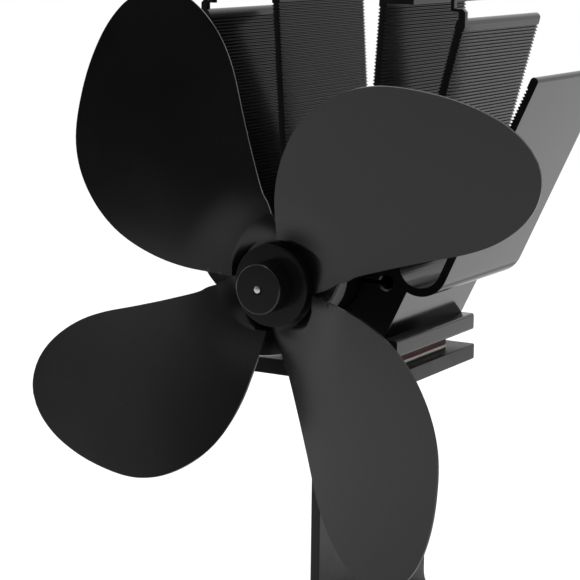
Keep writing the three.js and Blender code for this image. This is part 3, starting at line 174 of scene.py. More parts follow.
class Nodes:
    """Builds the nodes of a material or world. An input is given as a value or as another node's output."""

    def __init__(self, owner):
        owner.use_nodes = True
        self.owner, self.tree = owner, owner.node_tree
        self.places = self.add("ShaderNodeTexCoord").outputs

    def feed(self, socket, value):
        """Links or sets an input. A single number for a colour is a grey."""
        if isinstance(value, bpy.types.NodeSocket):
            self.tree.links.new(value, socket)
        elif socket.type == "RGBA":
            socket.default_value = (*(value if isinstance(value, tuple) else [value] * 3), 1)
        else:
            socket.default_value = value

    def add(self, kind, inputs=(), **settings):
        node = assign(self.tree.nodes.new(kind), **settings)
        for key, value in dict(inputs).items():
            self.feed(node.inputs[key], value)
        return node

    def split(self, vector):
        return self.add("ShaderNodeSeparateXYZ", {"Vector": vector}).outputs

    def noise(self, scale, detail, stretch=(1, 1, 1)):
        place = self.add("ShaderNodeMapping", {"Vector": self.places["Object"], "Scale": stretch}).outputs[0]
        inputs = {"Vector": place, "Scale": scale, "Detail": detail, "Roughness": 0.55}
        return self.add("ShaderNodeTexNoise", inputs).outputs["Fac"]

    def ranged(self, value, low=0, high=1, source=(0.3, 0.7), **settings):
        names = ("Value", "From Min", "From Max", "To Min", "To Max")
        inputs = zip(names, (value, *source, low, high))
        return self.add("ShaderNodeMapRange", inputs, **settings).outputs["Result"]

    def math(self, operation, first, second=0):
        return self.add("ShaderNodeMath", {0: first, 1: second}, operation=operation).outputs[0]

    def blended(self, share, first, second):
        node = self.add("ShaderNodeMix", {"Factor": share}, data_type="RGBA")
        colours = [socket for socket in node.inputs if socket.type == "RGBA"]
        for socket, value in zip(colours, (first, second)):
            self.feed(socket, value)
        return next(socket for socket in node.outputs if socket.type == "RGBA")

    def bump(self, height, distance, under=None):
        node = self.add("ShaderNodeBump", {"Height": height, "Distance": distance * MM, "Strength": 1})
        if under is not None:
            self.feed(node.inputs["Normal"], under)
        return node.outputs["Normal"]


class Finish(Nodes):
    """Builds a material's nodes round its shader."""

    def __init__(self, name):
        super().__init__(bpy.data.materials.new(name))
        self.shader = self.tree.nodes["Principled BSDF"]

    def set(self, **values):
        for name, value in values.items():
            self.feed(self.shader.inputs[name.replace("_", " ")], value)
        return self.owner


def grained(name, dark, light, rough, grain, bump, metallic=0.0, stretch=(1, 1, 1), ior=1.5):
    """A finish with cloudy colour, uneven gloss and a fine grain."""
    n = Finish(name)
    clouds = n.noise(90, 4, stretch)
    fine = n.noise(grain, 3, stretch)
    uneven = n.math("ADD", n.math("MULTIPLY", clouds, 0.6), n.math("MULTIPLY", fine, 0.4))
    return n.set(
        Base_Color=n.blended(n.ranged(clouds), dark, light), Metallic=metallic, IOR=ior,
        Roughness=n.ranged(uneven, *rough), Normal=n.bump(fine, bump))


def extrusion_masks(n):
    """Masks of an extrusion's ends, its sides that look down, and those that look up but aren't level."""
    normal = n.split(n.places["Normal"])
    ends = n.ranged(n.math("ABSOLUTE", normal["Y"]), source=(0.75, 0.9))
    lower = n.ranged(normal["Z"], 1, 0, (-0.6, -0.45))
    steep, sloping = n.ranged(normal["Z"], 1, 0, (0.9, 0.97)), n.ranged(normal["Z"], 0, 1, (0.4, 0.55))
    return ends, lower, n.math("MULTIPLY", steep, sloping)


def anodised_extrusion():
    """Black anodised aluminium: die lines along the glossy sides, saw marks and a dull black on the ends. A
    painted highlight makes the upward-sloping sides lighter, and painted shade takes the specular off the
    sides that look down.
    """
    n = Finish("anodised_extrusion")
    ends, lower, painted_highlight_slopes = extrusion_masks(n)
    sides = n.math("SUBTRACT", 1, ends)
    die_lines = n.noise(2200, 2, (1, 0.006, 1))
    clouds = n.noise(45, 3, (1, 0.3, 1))
    saw = n.noise(1900, 2, (0.05, 1, 1))
    plain_colour = n.blended(n.ranged(clouds), 0.003, 0.005)
    # Painted highlight: the sides that slope upwards, the rib flanks among them, get a lighter base colour.
    side_colour = n.blended(painted_highlight_slopes, plain_colour, 0.05)
    end_colour = n.blended(n.ranged(saw), 0.004, 0.0065)
    side_rough = n.math("MULTIPLY", sides, n.ranged(clouds, 0.12, 0.17))
    end_rough = n.math("MULTIPLY", ends, n.ranged(saw, 0.42, 0.58))
    # Painted shade: the sides that look down get almost no specular, so they show dark. The lower specular on
    # the ends is their duller sawn finish.
    specular_with_painted_shade = n.math("MULTIPLY", n.ranged(ends, 0.39, 0.09, (0, 1)), n.ranged(lower, 1, 0.06, (0, 1)))
    lines = n.bump(n.math("MULTIPLY", die_lines, sides), 0.0025)
    return n.set(
        Base_Color=n.blended(ends, side_colour, end_colour), Roughness=n.math("ADD", side_rough, end_rough),
        Specular_IOR_Level=specular_with_painted_shade, Normal=n.bump(n.math("MULTIPLY", saw, ends), 0.006, under=lines))


def blade_paint():
    """Satin black paint with a very fine texture."""
    n = Finish("blade_paint")
    clouds = n.noise(35, 3)
    return n.set(
        Base_Color=n.blended(n.ranged(clouds), 0.0034, 0.0044), Specular_IOR_Level=0.37,
        Roughness=n.ranged(clouds, 0.24, 0.29), Normal=n.bump(n.noise(1500, 3), 0.003))


def turned(name, rough, groove_depth=0.004):
    """Fine grooves round the motor axis. Also gives its clouds, and the places along and off the axis."""
    n = Finish(name)
    place = n.split(n.places["Object"])
    up = n.math("SUBTRACT", place["Z"], AXIS * MM)
    squares = n.math("ADD", n.math("POWER", place["X"], 2), n.math("POWER", up, 2))
    reach = n.math("POWER", squares, 0.5)
    section = n.add("ShaderNodeCombineXYZ", {"X": reach, "Y": place["Y"]}).outputs[0]
    groove = n.add("ShaderNodeTexNoise", {"Vector": section, "Scale": 5200, "Detail": 2}).outputs["Fac"]
    clouds = n.noise(120, 3)
    n.set(Roughness=n.ranged(clouds, *rough), Normal=n.bump(groove, groove_depth))
    return n, clouds, place["Y"], reach


def bright_steel():
    n, clouds, _, _ = turned("bright_steel", (0.22, 0.34))
    return n.set(Base_Color=n.blended(n.ranged(clouds), 0.42, 0.55), Metallic=1)


def motor_steel():
    """The can's grey steel. Its rear part is black."""
    n, _, along, _ = turned("can_steel", (0.42, 0.5), 0.001)
    bare_end = MOTOR_FRONT + CAN_BARE_LENGTH
    black = n.ranged(along, 0, 1, (bare_end * MM, (bare_end + CAN_BLACK_FADE) * MM))
    return n.set(Base_Color=n.blended(black, 0.14, 0.002),
                 Specular_IOR_Level=n.ranged(black, 0.5, 0.1, (0, 1)))


def hub_black():
    """Black turned metal, with a painted highlight on the front edge of the boss: a lighter colour and more
    specular there.
    """
    n, _, along, reach = turned("hub_black", (0.17, 0.21))
    radius, front, edge = BOSS_RADIUS * MM, HUB_FRONT * MM, HUB_EDGE * MM
    outside = n.ranged(reach, 0, 1, (radius - edge, radius - 0.7 * edge))
    in_front = n.ranged(along, 1, 0, (front + edge, front + 1.2 * edge))
    # Painted highlight: the boss's front rim gets a lighter colour and a stronger specular.
    painted_rim_highlight = n.math("MULTIPLY", outside, in_front)
    return n.set(Base_Color=n.blended(painted_rim_highlight, 0.007, 0.015),
                 Specular_IOR_Level=n.ranged(painted_rim_highlight, 0.1, 0.35, (0, 1)))


def wound_copper():
    """Enamelled wire, wound in fine turns."""
    n = Finish("wound_copper")
    inputs = {"Vector": n.places["Object"], "Scale": 900, "Distortion": 1.5}
    wave = n.add("ShaderNodeTexWave", inputs, wave_type="BANDS", bands_direction="DIAGONAL").outputs["Fac"]
    return n.set(Base_Color=n.blended(wave, (0.18, 0.06, 0.02), (0.48, 0.19, 0.07)), Metallic=0.9,
                 Roughness=n.ranged(wave, 0.45, 0.3, (0, 1)), Normal=n.bump(wave, 0.05))


CAST = grained("cast_black", 0.003, 0.005, (0.34, 0.46), 900, 0.012, ior=1.35)
SINK = anodised_extrusion()
BLADE = blade_paint()
HUB = hub_black()
STEEL = bright_steel()
CAN = motor_steel()
SCREW = grained("screw_steel", 0.3, 0.42, (0.28, 0.42), 1400, 0.006, 1.0)
CORE = grained("core_steel", 0.16, 0.24, (0.4, 0.55), 1800, 0.01, 1.0, (1, 12, 1))
BRONZE = grained("sintered_bronze", (0.33, 0.19, 0.07), (0.42, 0.25, 0.1), (0.45, 0.6), 2600, 0.02, 1.0)
COPPER = wound_copper()
CONTACT = grained("contact_copper", (0.42, 0.18, 0.08), (0.55, 0.26, 0.12), (0.3, 0.45), 1600, 0.006, 1.0)
FERRITE = grained("ferrite", 0.03, 0.05, (0.7, 0.85), 1200, 0.02)
PAD_GREY = grained("thermal_pad", 0.035, 0.055, (0.75, 0.9), 1100, 0.03)
WHITE = grained("white_ceramic", (0.62, 0.61, 0.57), (0.74, 0.73, 0.69), (0.45, 0.6), 2000, 0.006)
PELLETS = grained("couple_blocks", 0.12, 0.2, (0.5, 0.65), 1500, 0.02, 0.4)
SEALANT = grained("seal_rubber", (0.045, 0.005, 0.008), (0.07, 0.009, 0.013), (0.45, 0.6), 700, 0.05,
                  ior=1.25)
FIBRE = grained("fibre_board", (0.36, 0.29, 0.19), (0.5, 0.42, 0.3), (0.75, 0.9), 1500, 0.03,
                stretch=(1, 1, 5))
PLASTIC = grained("cap_plastic", 0.014, 0.02, (0.5, 0.62), 1600, 0.01)
RED = grained("lead_red_cover", (0.3, 0.012, 0.01), (0.4, 0.022, 0.016), (0.42, 0.55), 1300, 0.01)
BLACK = grained("lead_black_cover", 0.011, 0.017, (0.42, 0.55), 1300, 0.01)

CAD_FINISHES = {
    "motor_end_cap": PLASTIC, "magnet_left": FERRITE, "magnet_right": FERRITE, "bush_front": BRONZE,
    "bush_rear": BRONZE, "brush_left": CONTACT, "brush_right": CONTACT, "armature_core": CORE,
    "coil_1": COPPER, "coil_2": COPPER, "coil_3": COPPER, "commutator": CONTACT, "teg_couples": PELLETS,
}


# Outlines: lists of (across, up) pairs in millimetres

def arc(x, y, radius, start, end, steps):
    return [
        (x + radius * math.cos(start + (end - start) * i / steps),
         y + radius * math.sin(start + (end - start) * i / steps))
        for i in range(steps + 1)
    ]


def circle(x, y, radius, steps=TURN_STEPS):
    return arc(x, y, radius, 0, 2 * math.pi, steps)[1:]


def rectangle(left, right, bottom, top):
    return [(left, bottom), (right, bottom), (right, top), (left, top)]


def rounded(width, low, high, radius, steps=CORNER_STEPS):
    """A rectangle on the middle line, with rounded corners."""
    side, quarter = width / 2 - radius, math.pi / 2
    centres = ((side, high - radius), (-side, high - radius), (-side, low + radius), (side, low + radius))
    points = []
    for i, (x, y) in enumerate(centres):
        points += arc(x, y, radius, i * quarter, (i + 1) * quarter, steps)
    return points


def mirrored(points):
    return [(-x, y) for x, y in points]


def both(points):
    return points, mirrored(points)


def area(points):
    return sum(a[0] * b[1] - b[0] * a[1] for a, b in zip(points, points[1:] + points[:1])) / 2


def overlaid(polygons):
    """The polygons laid over each other: points, triangles, and which polygons hold each triangle."""
    corners, faces = [], []
    for polygon in polygons:
        ordered = polygon if area(polygon) > 0 else polygon[::-1]
        faces.append(list(range(len(corners), len(corners) + len(ordered))))
        corners += [Vector(p) for p in ordered]
    points, _, triangles, sources, _, holders = delaunay_2d_cdt(corners, [], faces, 1, WELD / 10, True)
    return points, triangles, [set(h) for h in holders], sources


def outline(polygons, keep):
    """The loops round the triangles whose set of polygons passes keep. Their inside is on the left."""
    points, triangles, holders, _ = overlaid(polygons)
    edges = set()
    for triangle, held in zip(triangles, holders):
        if held and keep(held):
            for a, b in zip(triangle, triangle[1:] + triangle[:1]):
                if (b, a) in edges:
                    edges.discard((b, a))
                else:
                    edges.add((a, b))
    following = dict(edges)
    loops = []
    while following:
        start, point = following.popitem()
        loop = [start]
        while point != start:
            loop.append(point)
            point = following.pop(point)
        loops.append(thinned([tuple(points[i]) for i in loop]))
    return loops


def thinned(points, least=0.004, bend=1e-4):
    """The loop without its doubled points and the points on its straight runs."""
    kept = [p for i, p in enumerate(points) if math.dist(p, points[i - 1]) > least]
    result = []
    for i, point in enumerate(kept):
        before, after = Vector(kept[i - 1]), Vector(kept[(i + 1) % len(kept)])
        corner = Vector(point)
        if abs((corner - before).cross(after - corner)) > bend * (after - before).length:
            result.append(point)
    return result


def inset(loop, distance):
    """The loop moved to its left, with mitred corners."""
    if distance == 0:
        return list(loop)
    result = []
    for i, point in enumerate(loop):
        before, after = loop[i - 1], loop[(i + 1) % len(loop)]
        normals = []
        for a, b in ((before, point), (point, after)):
            length = math.dist(a, b)
            normals.append(((a[1] - b[1]) / length, (b[0] - a[0]) / length))
        (ax, ay), (bx, by) = normals
        share = max(1 + ax * bx + ay * by, MITRE_LIMIT)
        result.append((point[0] + distance * (ax + bx) / share, point[1] + distance * (ay + by) / share))
    return result


# Meshes

def place_up(x, y, level):
    return (x, y, level)


def place_across(y, z, level):
    return (level, y, z)


def place_back(x, z, level):
    return (x, level, z)


def rim_rings(low, high, rim, steps):
    """(inset, level) of each ring of a prism whose end edges are rounded."""
    if rim == 0:
        return [(0, low), (0, high)]
    turn = [i / steps * math.pi / 2 for i in range(steps + 1)]
    lower = [(rim * (1 - math.sin(t)), low + rim * (1 - math.cos(t))) for t in turn]
    return lower + [(i, low + high - level) for i, level in reversed(lower)]


def prism(loops, low, high, place, rim=0.0, steps=RIM_STEPS):
    """A closed mesh from loops, whose inside is on their left, between two levels."""
    mesh = bmesh.new()
    rings = rim_rings(low, high, rim, steps)
    flat = [inset(loop, rings[0][0]) for loop in loops]
    solid = [area(loop) > 0 for loop in flat]
    bottom, top = [], []
    for loop, outer in zip(loops, solid):
        made = [[mesh.verts.new(place(x, y, level)) for x, y in inset(loop, distance)]
                for distance, level in rings]
        for one, two in zip(made, made[1:]):
            for i in range(len(loop)):
                mesh.faces.new((one[i - 1], one[i], two[i], two[i - 1]))
        way = 1 if outer else -1
        bottom += made[0][::way]
        top += made[-1][::way]
    _, triangles, holders, sources = overlaid(flat)
    for triangle, held in zip(triangles, holders):
        if held and all(solid[i] for i in held):
            corners = [sources[i][0] for i in triangle]
            mesh.faces.new([bottom[i] for i in corners])
            mesh.faces.new([top[i] for i in reversed(corners)])
    bmesh.ops.recalc_face_normals(mesh, faces=mesh.faces)
    return mesh


def bar(points, *shape):
    """A prism of one outline."""
    return prism([points if area(points) > 0 else points[::-1]], *shape)


def tube(inner, outer, low, high):
    """A ring's or bar's section, as (radius, y) pairs."""
    return [(inner, low), (inner, high), (outer, high), (outer, low)]


def lathe(section, steps=TURN_STEPS, centre=(0.0, AXIS)):
    """A mesh turned from a closed section of (radius, y) pairs, round an axis along y."""
    mesh = bmesh.new()
    rings = []
    for i in range(steps):
        across, up = math.cos(2 * math.pi * i / steps), math.sin(2 * math.pi * i / steps)
        rings.append([mesh.verts.new((centre[0] + r * across, y, centre[1] + r * up)) for r, y in section])
    for i, ring in enumerate(rings):
        for j in range(len(section)):
            if section[j - 1][0] or section[j][0]:
                mesh.faces.new((rings[i - 1][j - 1], rings[i - 1][j], ring[j], ring[j - 1]))
    bmesh.ops.remove_doubles(mesh, verts=mesh.verts, dist=WELD)
    bmesh.ops.recalc_face_normals(mesh, faces=mesh.faces)
    return mesh


def softened(points, radius, steps=3):
    """The closed outline with each outer corner rounded, by no more than a third of its sides."""
    result = []
    turn = 1 if area(points) > 0 else -1
    for i, point in enumerate(points):
        before, after = Vector(points[i - 1]), Vector(points[(i + 1) % len(points)])
        corner = Vector(point)
        inward, outward = before - corner, after - corner
        if point[0] == 0 or turn * (outward.cross(inward)) < 0:
            result.append(point)
            continue
        trim = min(radius, inward.length / 3, outward.length / 3)
        start, end = corner + inward.normalized() * trim, corner + outward.normalized() * trim
        for k in range(steps + 1):
            t = k / steps
            result.append(tuple(start * (1 - t) ** 2 + corner * 2 * t * (1 - t) + end * t ** 2))
    return result


def turned_upright(mesh, x, y, level):
    """A mesh turned round y at the origin, stood up with its axis along z through (x, y)."""
    for vert in mesh.verts:
        across, along, up = vert.co
        vert.co = (x + across, y + up, level + along)
    return mesh


def upright_pin(x, y, radius, low, high, steps=32):
    return turned_upright(lathe(tube(0, radius, 0, high - low), steps, (0, 0)), x, y, low)


def mesh_object(name, mesh):
    """A new object from a mesh, which is used up."""
    data = bpy.data.meshes.new(name)
    mesh.to_mesh(data)
    mesh.free()
    return placed(name, data)


def finished(name, mesh, material, node, body="stand", weighted=True):
    """The mesh as a piece of the scene, scaled to metres."""
    for vert in mesh.verts:
        vert.co *= MM
    bmesh.ops.recalc_face_normals(mesh, faces=mesh.faces)
    piece = mesh_object(name, mesh)
    piece.data.materials.append(material)
    piece.data.shade_smooth()
    piece.data.set_sharp_from_angle(angle=SHARP_ANGLE)
    if weighted:
        add_weighted_normals(piece)
    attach(piece, body)
    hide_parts(node)
    return piece


def add_weighted_normals(piece):
    assign(piece.modifiers.new("normals", "WEIGHTED_NORMAL"), keep_sharp=True)


def combined(meshes, operation):
    """The first mesh joined with the others, or cut by them."""
    helpers = [mesh_object(f"helper_{index}", mesh) for index, mesh in enumerate(meshes)]
    first = helpers[0]
    for other in helpers[1:]:
        assign(first.modifiers.new("join", "BOOLEAN"), operation=operation, solver="MANIFOLD", object=other)
    bpy.context.view_layer.update()
    evaluated = first.evaluated_get(bpy.context.evaluated_depsgraph_get())
    result = bmesh.new()
    result.from_mesh(evaluated.to_mesh())
    for helper in helpers:
        bpy.data.meshes.remove(helper.data)
    bmesh.ops.remove_doubles(result, verts=result.verts, dist=WELD)
    return result


# Leads: each is a free wire from the module to a terminal of the motor

def rounded_route(points, radius):
    """Straight runs with their corners rounded, as points."""
    route = [Vector(points[0])]
    last = len(points) - 2
    for i in range(1, last + 1):
        before, corner, after = (Vector(p) for p in points[i - 1:i + 2])
        run_in, run_out = before - corner, after - corner
        trim = min(radius, run_in.length / (1 if i == 1 else 2), run_out.length / (1 if i == last else 2))
        start, end = corner + run_in.normalized() * trim, corner + run_out.normalized() * trim
        first, second = start.lerp(corner, BEND_HANDLE), end.lerp(corner, BEND_HANDLE)
        for k in range(BEND_STEPS + 1):
            t = k / BEND_STEPS
            u = 1 - t
            route.append(start * u ** 3 + first * 3 * t * u ** 2 + second * 3 * t * t * u + end * t ** 3)
    route.append(Vector(points[-1]))
    return [p for i, p in enumerate(route) if i == 0 or (p - route[i - 1]).length > 0.01]


def lead_route(level, side):
    exit_x = -MODULE_WIDTH / 2 - FIT_GAP
    side_x = exit_x - LEAD_BEND
    exit_y = SINK_CENTRE_Y - MODULE_DEPTH / 2 + LEAD_EXIT
    gap_z = PLATE_TOP + LEAD_STACK_HEIGHT + level * LEAD_STACK_STEP
    behind_y = SINK_BACK + FIT_GAP + LEAD_RADIUS
    entry_x = side * LEAD_ENTRY_OFFSET
    entry_z = AXIS - LEAD_ENTRY_DROP
    terminal_x = side * (COMMUTATOR_RADIUS + FIT_GAP + BRUSH_LENGTH - TERMINAL_THICKNESS / 2)
    return rounded_route([
        (exit_x, exit_y, gap_z),
        (side_x, exit_y, gap_z),
        (side_x, behind_y, gap_z),
        (entry_x, behind_y, gap_z),
        (entry_x, behind_y, entry_z),
        (entry_x, TERMINAL_BACK + LEAD_CAP_SPACE, entry_z),
        (terminal_x, TERMINAL_BACK + LEAD_CAP_SPACE / 2, AXIS),
        (terminal_x, TERMINAL_BACK + FIT_GAP, AXIS),
    ], LEAD_BEND)


def add_lead(name, node, level, side, material):
    route = lead_route(level, side)
    curve = assign(bpy.data.curves.new(name, "CURVE"), dimensions="3D", bevel_depth=LEAD_RADIUS * MM,
                   bevel_resolution=5, use_fill_caps=True)
    spline = curve.splines.new("POLY")
    spline.points.add(len(route) - 1)
    for point, place in zip(spline.points, route):
        point.co = (*(place * MM), 1)
    curve.materials.append(material)
    lead = placed(name, curve)
    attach(lead, "stand")
    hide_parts(node)


add_lead("lead_red_wire", "lead_red", 1, -1, RED)
add_lead("lead_black_wire", "lead_black", 0, 1, BLACK)


# Stand

def web_outline():
    def edge(direction):
        plate_edge = PLATE_BACK if direction > 0 else PLATE_FRONT
        side = direction * WEB_DEPTH / 2
        points = []
        for i in range(SHOULDER_STEPS + 1):
            share = i / SHOULDER_STEPS
            y = plate_edge + (side - plate_edge) * (1 - math.cos(math.pi * share)) / 2
            points.append((y, PLATE_BOTTOM - share * WEB_SHOULDER))
        start = math.pi if direction > 0 else 0
        flare = arc(side + direction * WEB_FLARE, FOOT_THICKNESS + WEB_FLARE, WEB_FLARE,
                    start, start + direction * math.pi / 2, 10)
        return [*points, *flare, (flare[-1][0], FOOT_THICKNESS / 2)]

    back, front = edge(1), edge(-1)
    top = PLATE_BOTTOM + PLATE_THICKNESS / 2
    return [(back[0][0], top), *back, *front[::-1], (front[0][0], top)]


def web_fillet(base, direction):
    x = WEB_THICKNESS / 2 + WEB_FILLET
    z = base + direction * WEB_FILLET
    sunk = base - direction * WEB_FILLET / 2
    curve = arc(x, z, WEB_FILLET, math.pi, math.pi * (1 + direction / 2), 8)
    return [*curve, (x, sunk), (0, sunk), (0, z)]


def clamp_places():
    return [(x, SINK_CENTRE_Y + y) for x in (-CLAMP_X, CLAMP_X) for y in (-CLAMP_Y, CLAMP_Y)]


def add_stand():
    foot_outline = rounded(FOOT_WIDTH, -FOOT_DEPTH / 2, FOOT_DEPTH / 2, FOOT_CORNER, 12)
    plate_outline = rounded(SINK_FOOT_WIDTH, PLATE_FRONT, PLATE_BACK, PLATE_CORNER)
    whole = [
        bar(foot_outline, 0, FOOT_THICKNESS, place_up, CAST_RIM, 3),
        bar(plate_outline, PLATE_BOTTOM, PLATE_TOP, place_up, PLATE_RIM),
        bar(web_outline(), -WEB_THICKNESS / 2, WEB_THICKNESS / 2, place_across, CAST_RIM / 2, 3),
    ]
    foot_joint = (FOOT_THICKNESS, 1, -WEB_DEPTH / 2, WEB_DEPTH / 2)
    plate_joint = (PLATE_BOTTOM, -1, PLATE_FRONT, PLATE_BACK)
    for base, direction, low, high in (foot_joint, plate_joint):
        for points in both(web_fillet(base, direction)):
            whole.append(bar(points, low, high, place_back))
    cutters = []
    for x, y in clamp_places():
        cutters.append(upright_pin(x, y, CLAMP_RADIUS + FIT_GAP, PLATE_BOTTOM, PLATE_TOP + OVERRUN))
        cutters.append(upright_pin(x, y, WASHER_RADIUS + FIT_GAP, PLATE_BOTTOM - OVERRUN, WASHER_TOP, 48))
    casting = combined([combined(whole, "UNION"), *cutters], "DIFFERENCE")
    finished("stand_casting", casting, CAST, "base_stand")


add_stand()


# Thermoelectric module

def module_outline(edge):
    reach = MODULE_DEPTH / 2 - edge
    return rounded(MODULE_WIDTH - 2 * edge, SINK_CENTRE_Y - reach, SINK_CENTRE_Y + reach, MODULE_CORNER)


def add_module():
    inner = SEAL + FIT_GAP
    layers = (
        ("hot_pad", 0, PLATE_TOP, HOT_BOTTOM, PAD_GREY, "thermal_pad", PAD_RIM),
        ("teg_hot_plate", 0, HOT_BOTTOM, COUPLES_BOTTOM, WHITE, "white_ceramic", CERAMIC_RIM),
        ("teg_cold_plate", inner, COLD_BOTTOM, COLD_PAD_BOTTOM, WHITE, "white_ceramic", CERAMIC_RIM),
        ("cold_pad", 0, COLD_PAD_BOTTOM, SINK_BOTTOM, PAD_GREY, "thermal_pad", PAD_RIM),
    )
    for node, edge, low, high, material, slot, rim in layers:
        layer = bar(module_outline(edge), low, high, place_up, rim)
        finished(f"{node}_layer", layer, material, node)
    ring = outline([module_outline(0), module_outline(SEAL)], lambda held: held == {0})
    band = prism(ring, COUPLES_BOTTOM, COLD_PAD_BOTTOM, place_up, SEAL_RIM, 3)
    finished("teg_seal_band", band, SEALANT, "teg_seal")


add_module()


# Heat sink: outlines for the right side, mirrored for the left

def fin(start, lean, tip, thickness, rib_sides, round_tip):
    """A fin's outline from its start point on its middle line, along its lean."""
    length = (tip - start[1]) / math.cos(lean)
    ribs_from = max((AXIS + RIBS_FROM - start[1]) / math.cos(lean), 0)
    count = int((length - PLAIN_TIP - ribs_from) / RIB_PITCH)
    end = length - (thickness / 2 if round_tip else 0)

    def side(direction):
        crest = direction * thickness / 2
        if direction not in rib_sides:
            return [(0, crest), (end, crest)]
        valley = direction * (thickness / 2 - RIB_DEPTH)
        points = [(0, crest), (ribs_from, crest)]
        for i in range(count):
            along = ribs_from + i * RIB_PITCH
            points += [(along + share * RIB_PITCH, level)
                       for share, level in zip(RIB_SHARES, (valley, valley, crest, crest))]
        return [*points, (end, crest)]

    tip_arc = []
    if round_tip:
        tip_arc = arc(length - thickness / 2, 0, thickness / 2, -math.pi / 2, math.pi / 2, 8)[1:-1]
    flat = [*side(-1), *tip_arc, *side(1)[::-1]]
    return [(start[0] + along * math.sin(lean) - across * math.cos(lean),
             start[1] + along * math.cos(lean) + across * math.sin(lean)) for along, across in flat]


def fin_middle(offset, lean, height):
    return offset + height * math.tan(lean)


def inner_fin():
    height = BORE_RADIUS / 2
    start = (fin_middle(INNER_OFFSET, INNER_LEAN, height), AXIS + height)
    return fin(start, INNER_LEAN, AXIS + INNER_TIP, INNER_THICKNESS, (-1, 1), False)


def inner_flange():
    bottom = INNER_TIP - FLANGE_THICKNESS
    foot = fin_middle(INNER_OFFSET, INNER_LEAN, bottom)
    return rectangle(foot, FLANGE_REACH, AXIS + bottom, AXIS + INNER_TIP)


def middle_fin():
    return fin((MIDDLE_OFFSET, AXIS), MIDDLE_LEAN, AXIS + MIDDLE_TIP, MIDDLE_THICKNESS, (-1, 1), True)


def middle_hook():
    neck = fin_middle(MIDDLE_OFFSET, MIDDLE_LEAN, MIDDLE_TIP)
    outside = neck + HOOK_NECK / 2
    inside = outside - HOOK_REACH
    bottom = MIDDLE_TIP - PLAIN_TIP
    shelf_top = MIDDLE_TIP + HOOK_NECK_HEIGHT
    shelf_bottom = shelf_top - HOOK_SHELF
    points = [
        (neck - HOOK_NECK / 2, bottom), (outside, bottom), (outside, shelf_bottom),
        (outside - HOOK_SHELF, shelf_top), (inside + HOOK_LIP, shelf_top),
        (inside + HOOK_LIP, shelf_top + HOOK_LIP_HEIGHT), (inside, shelf_top + HOOK_LIP_HEIGHT),
        (inside, shelf_bottom), (neck - HOOK_NECK / 2, shelf_bottom),
    ]
    return [(x, AXIS + z) for x, z in points]


def outer_fin():
    middle = CHANNEL_RADIUS - OUTER_THICKNESS / 2
    start = (CHANNEL_OFFSET + middle * math.cos(OUTER_LEAN),
             AXIS + CHANNEL_RISE - middle * math.sin(OUTER_LEAN))
    return fin(start, OUTER_LEAN, AXIS + OUTER_TIP, OUTER_THICKNESS, (1,), True)


def channel_band():
    x, z, start, end = CHANNEL_OFFSET, AXIS + CHANNEL_RISE, MIDDLE_LEAN - math.pi, -OUTER_LEAN
    inner = arc(x, z, CHANNEL_RADIUS - OUTER_THICKNESS, end, start, ARC_STEPS)
    return arc(x, z, CHANNEL_RADIUS, start, end, ARC_STEPS) + inner


def trunk():
    shoulder = fin_middle(MIDDLE_OFFSET, MIDDLE_LEAN, TRUNK_TOP)
    right = [(TRUNK_WIDTH / 2, TRUNK_BOTTOM), (CHANNEL_OFFSET, AXIS + CHANNEL_RISE),
             (shoulder, AXIS + TRUNK_TOP)]
    return right + mirrored(right)[::-1]


def sink_outline():
    foot_middle = (SINK_BOTTOM + TRUNK_BOTTOM) / 2
    port_height = AXIS - PORT_UNDER_AXIS
    hollow = circle(CHANNEL_OFFSET, AXIS + CHANNEL_RISE, CHANNEL_RADIUS - OUTER_THICKNESS)
    port = circle(PORT_OFFSET, port_height, PORT_RADIUS, 40)
    half_slot = PORT_SLOT / 2
    slot = rectangle(BORE_RADIUS - OVERRUN, PORT_OFFSET, port_height - half_slot, port_height + half_slot)
    solids = [
        rounded(SINK_FOOT_WIDTH, SINK_BOTTOM, TRUNK_BOTTOM, PLATE_CORNER),
        rectangle(-TRUNK_WIDTH / 2, TRUNK_WIDTH / 2, foot_middle, TRUNK_BOTTOM + PLATE_CORNER),
        circle(0, AXIS, HOUSING_RADIUS),
        *both(inner_fin()), *both(inner_flange()), *both(middle_fin()), *both(outer_fin()),
        *both(channel_band()),
    ]
    cutters = [circle(0, AXIS, BORE_RADIUS), *both(port), *both(slot)]
    body = len(solids)
    others, hollows = set(range(body)), {body + 1, body + 2}
    cut = set(range(body + 3, body + 3 + len(cutters)))

    def solid(held):
        return not held & cut and (held & others or (body in held and not held & hollows))

    return outline([*solids, trunk(), *both(hollow), *cutters], solid)


def add_sink():
    profile = prism(sink_outline(), SINK_FRONT, SINK_BACK, place_back, SAWN_RIM)
    hooks = [bar(points, SINK_FRONT, SINK_FRONT + HOOK_LENGTH, place_back, SAWN_RIM)
             for points in both(middle_hook())]
    whole = combined([profile, *hooks], "UNION")
    clamp_top = SINK_BOTTOM + CLAMP_GRIP + CLAMP_TIP_SPACE
    holes = [upright_pin(x, y, CLAMP_RADIUS + FIT_GAP, SINK_BOTTOM - OVERRUN, clamp_top)
             for x, y in clamp_places()]
    holes.append(upright_pin(0, SINK_FRONT + SET_SCREW_INSET, SET_SCREW_RADIUS + FIT_GAP, AXIS,
                             AXIS + HOUSING_RADIUS + OVERRUN))
    mouth_front, mouth_back = SINK_FRONT - MOUTH_OVERRUN, SINK_FRONT + MOUTH_DEPTH
    for x in (-PORT_OFFSET, PORT_OFFSET):
        mouth = [(0, mouth_front), (MOUTH_RADIUS, mouth_front), (PORT_RADIUS, mouth_back), (0, mouth_back)]
        holes.append(lathe(mouth, 48, (x, AXIS - PORT_UNDER_AXIS)))
    extrusion = combined([whole, *holes], "DIFFERENCE")
    finished("sink_extrusion", extrusion, SINK, "heat_sink")


add_sink()


# Screws, washers and rear cover

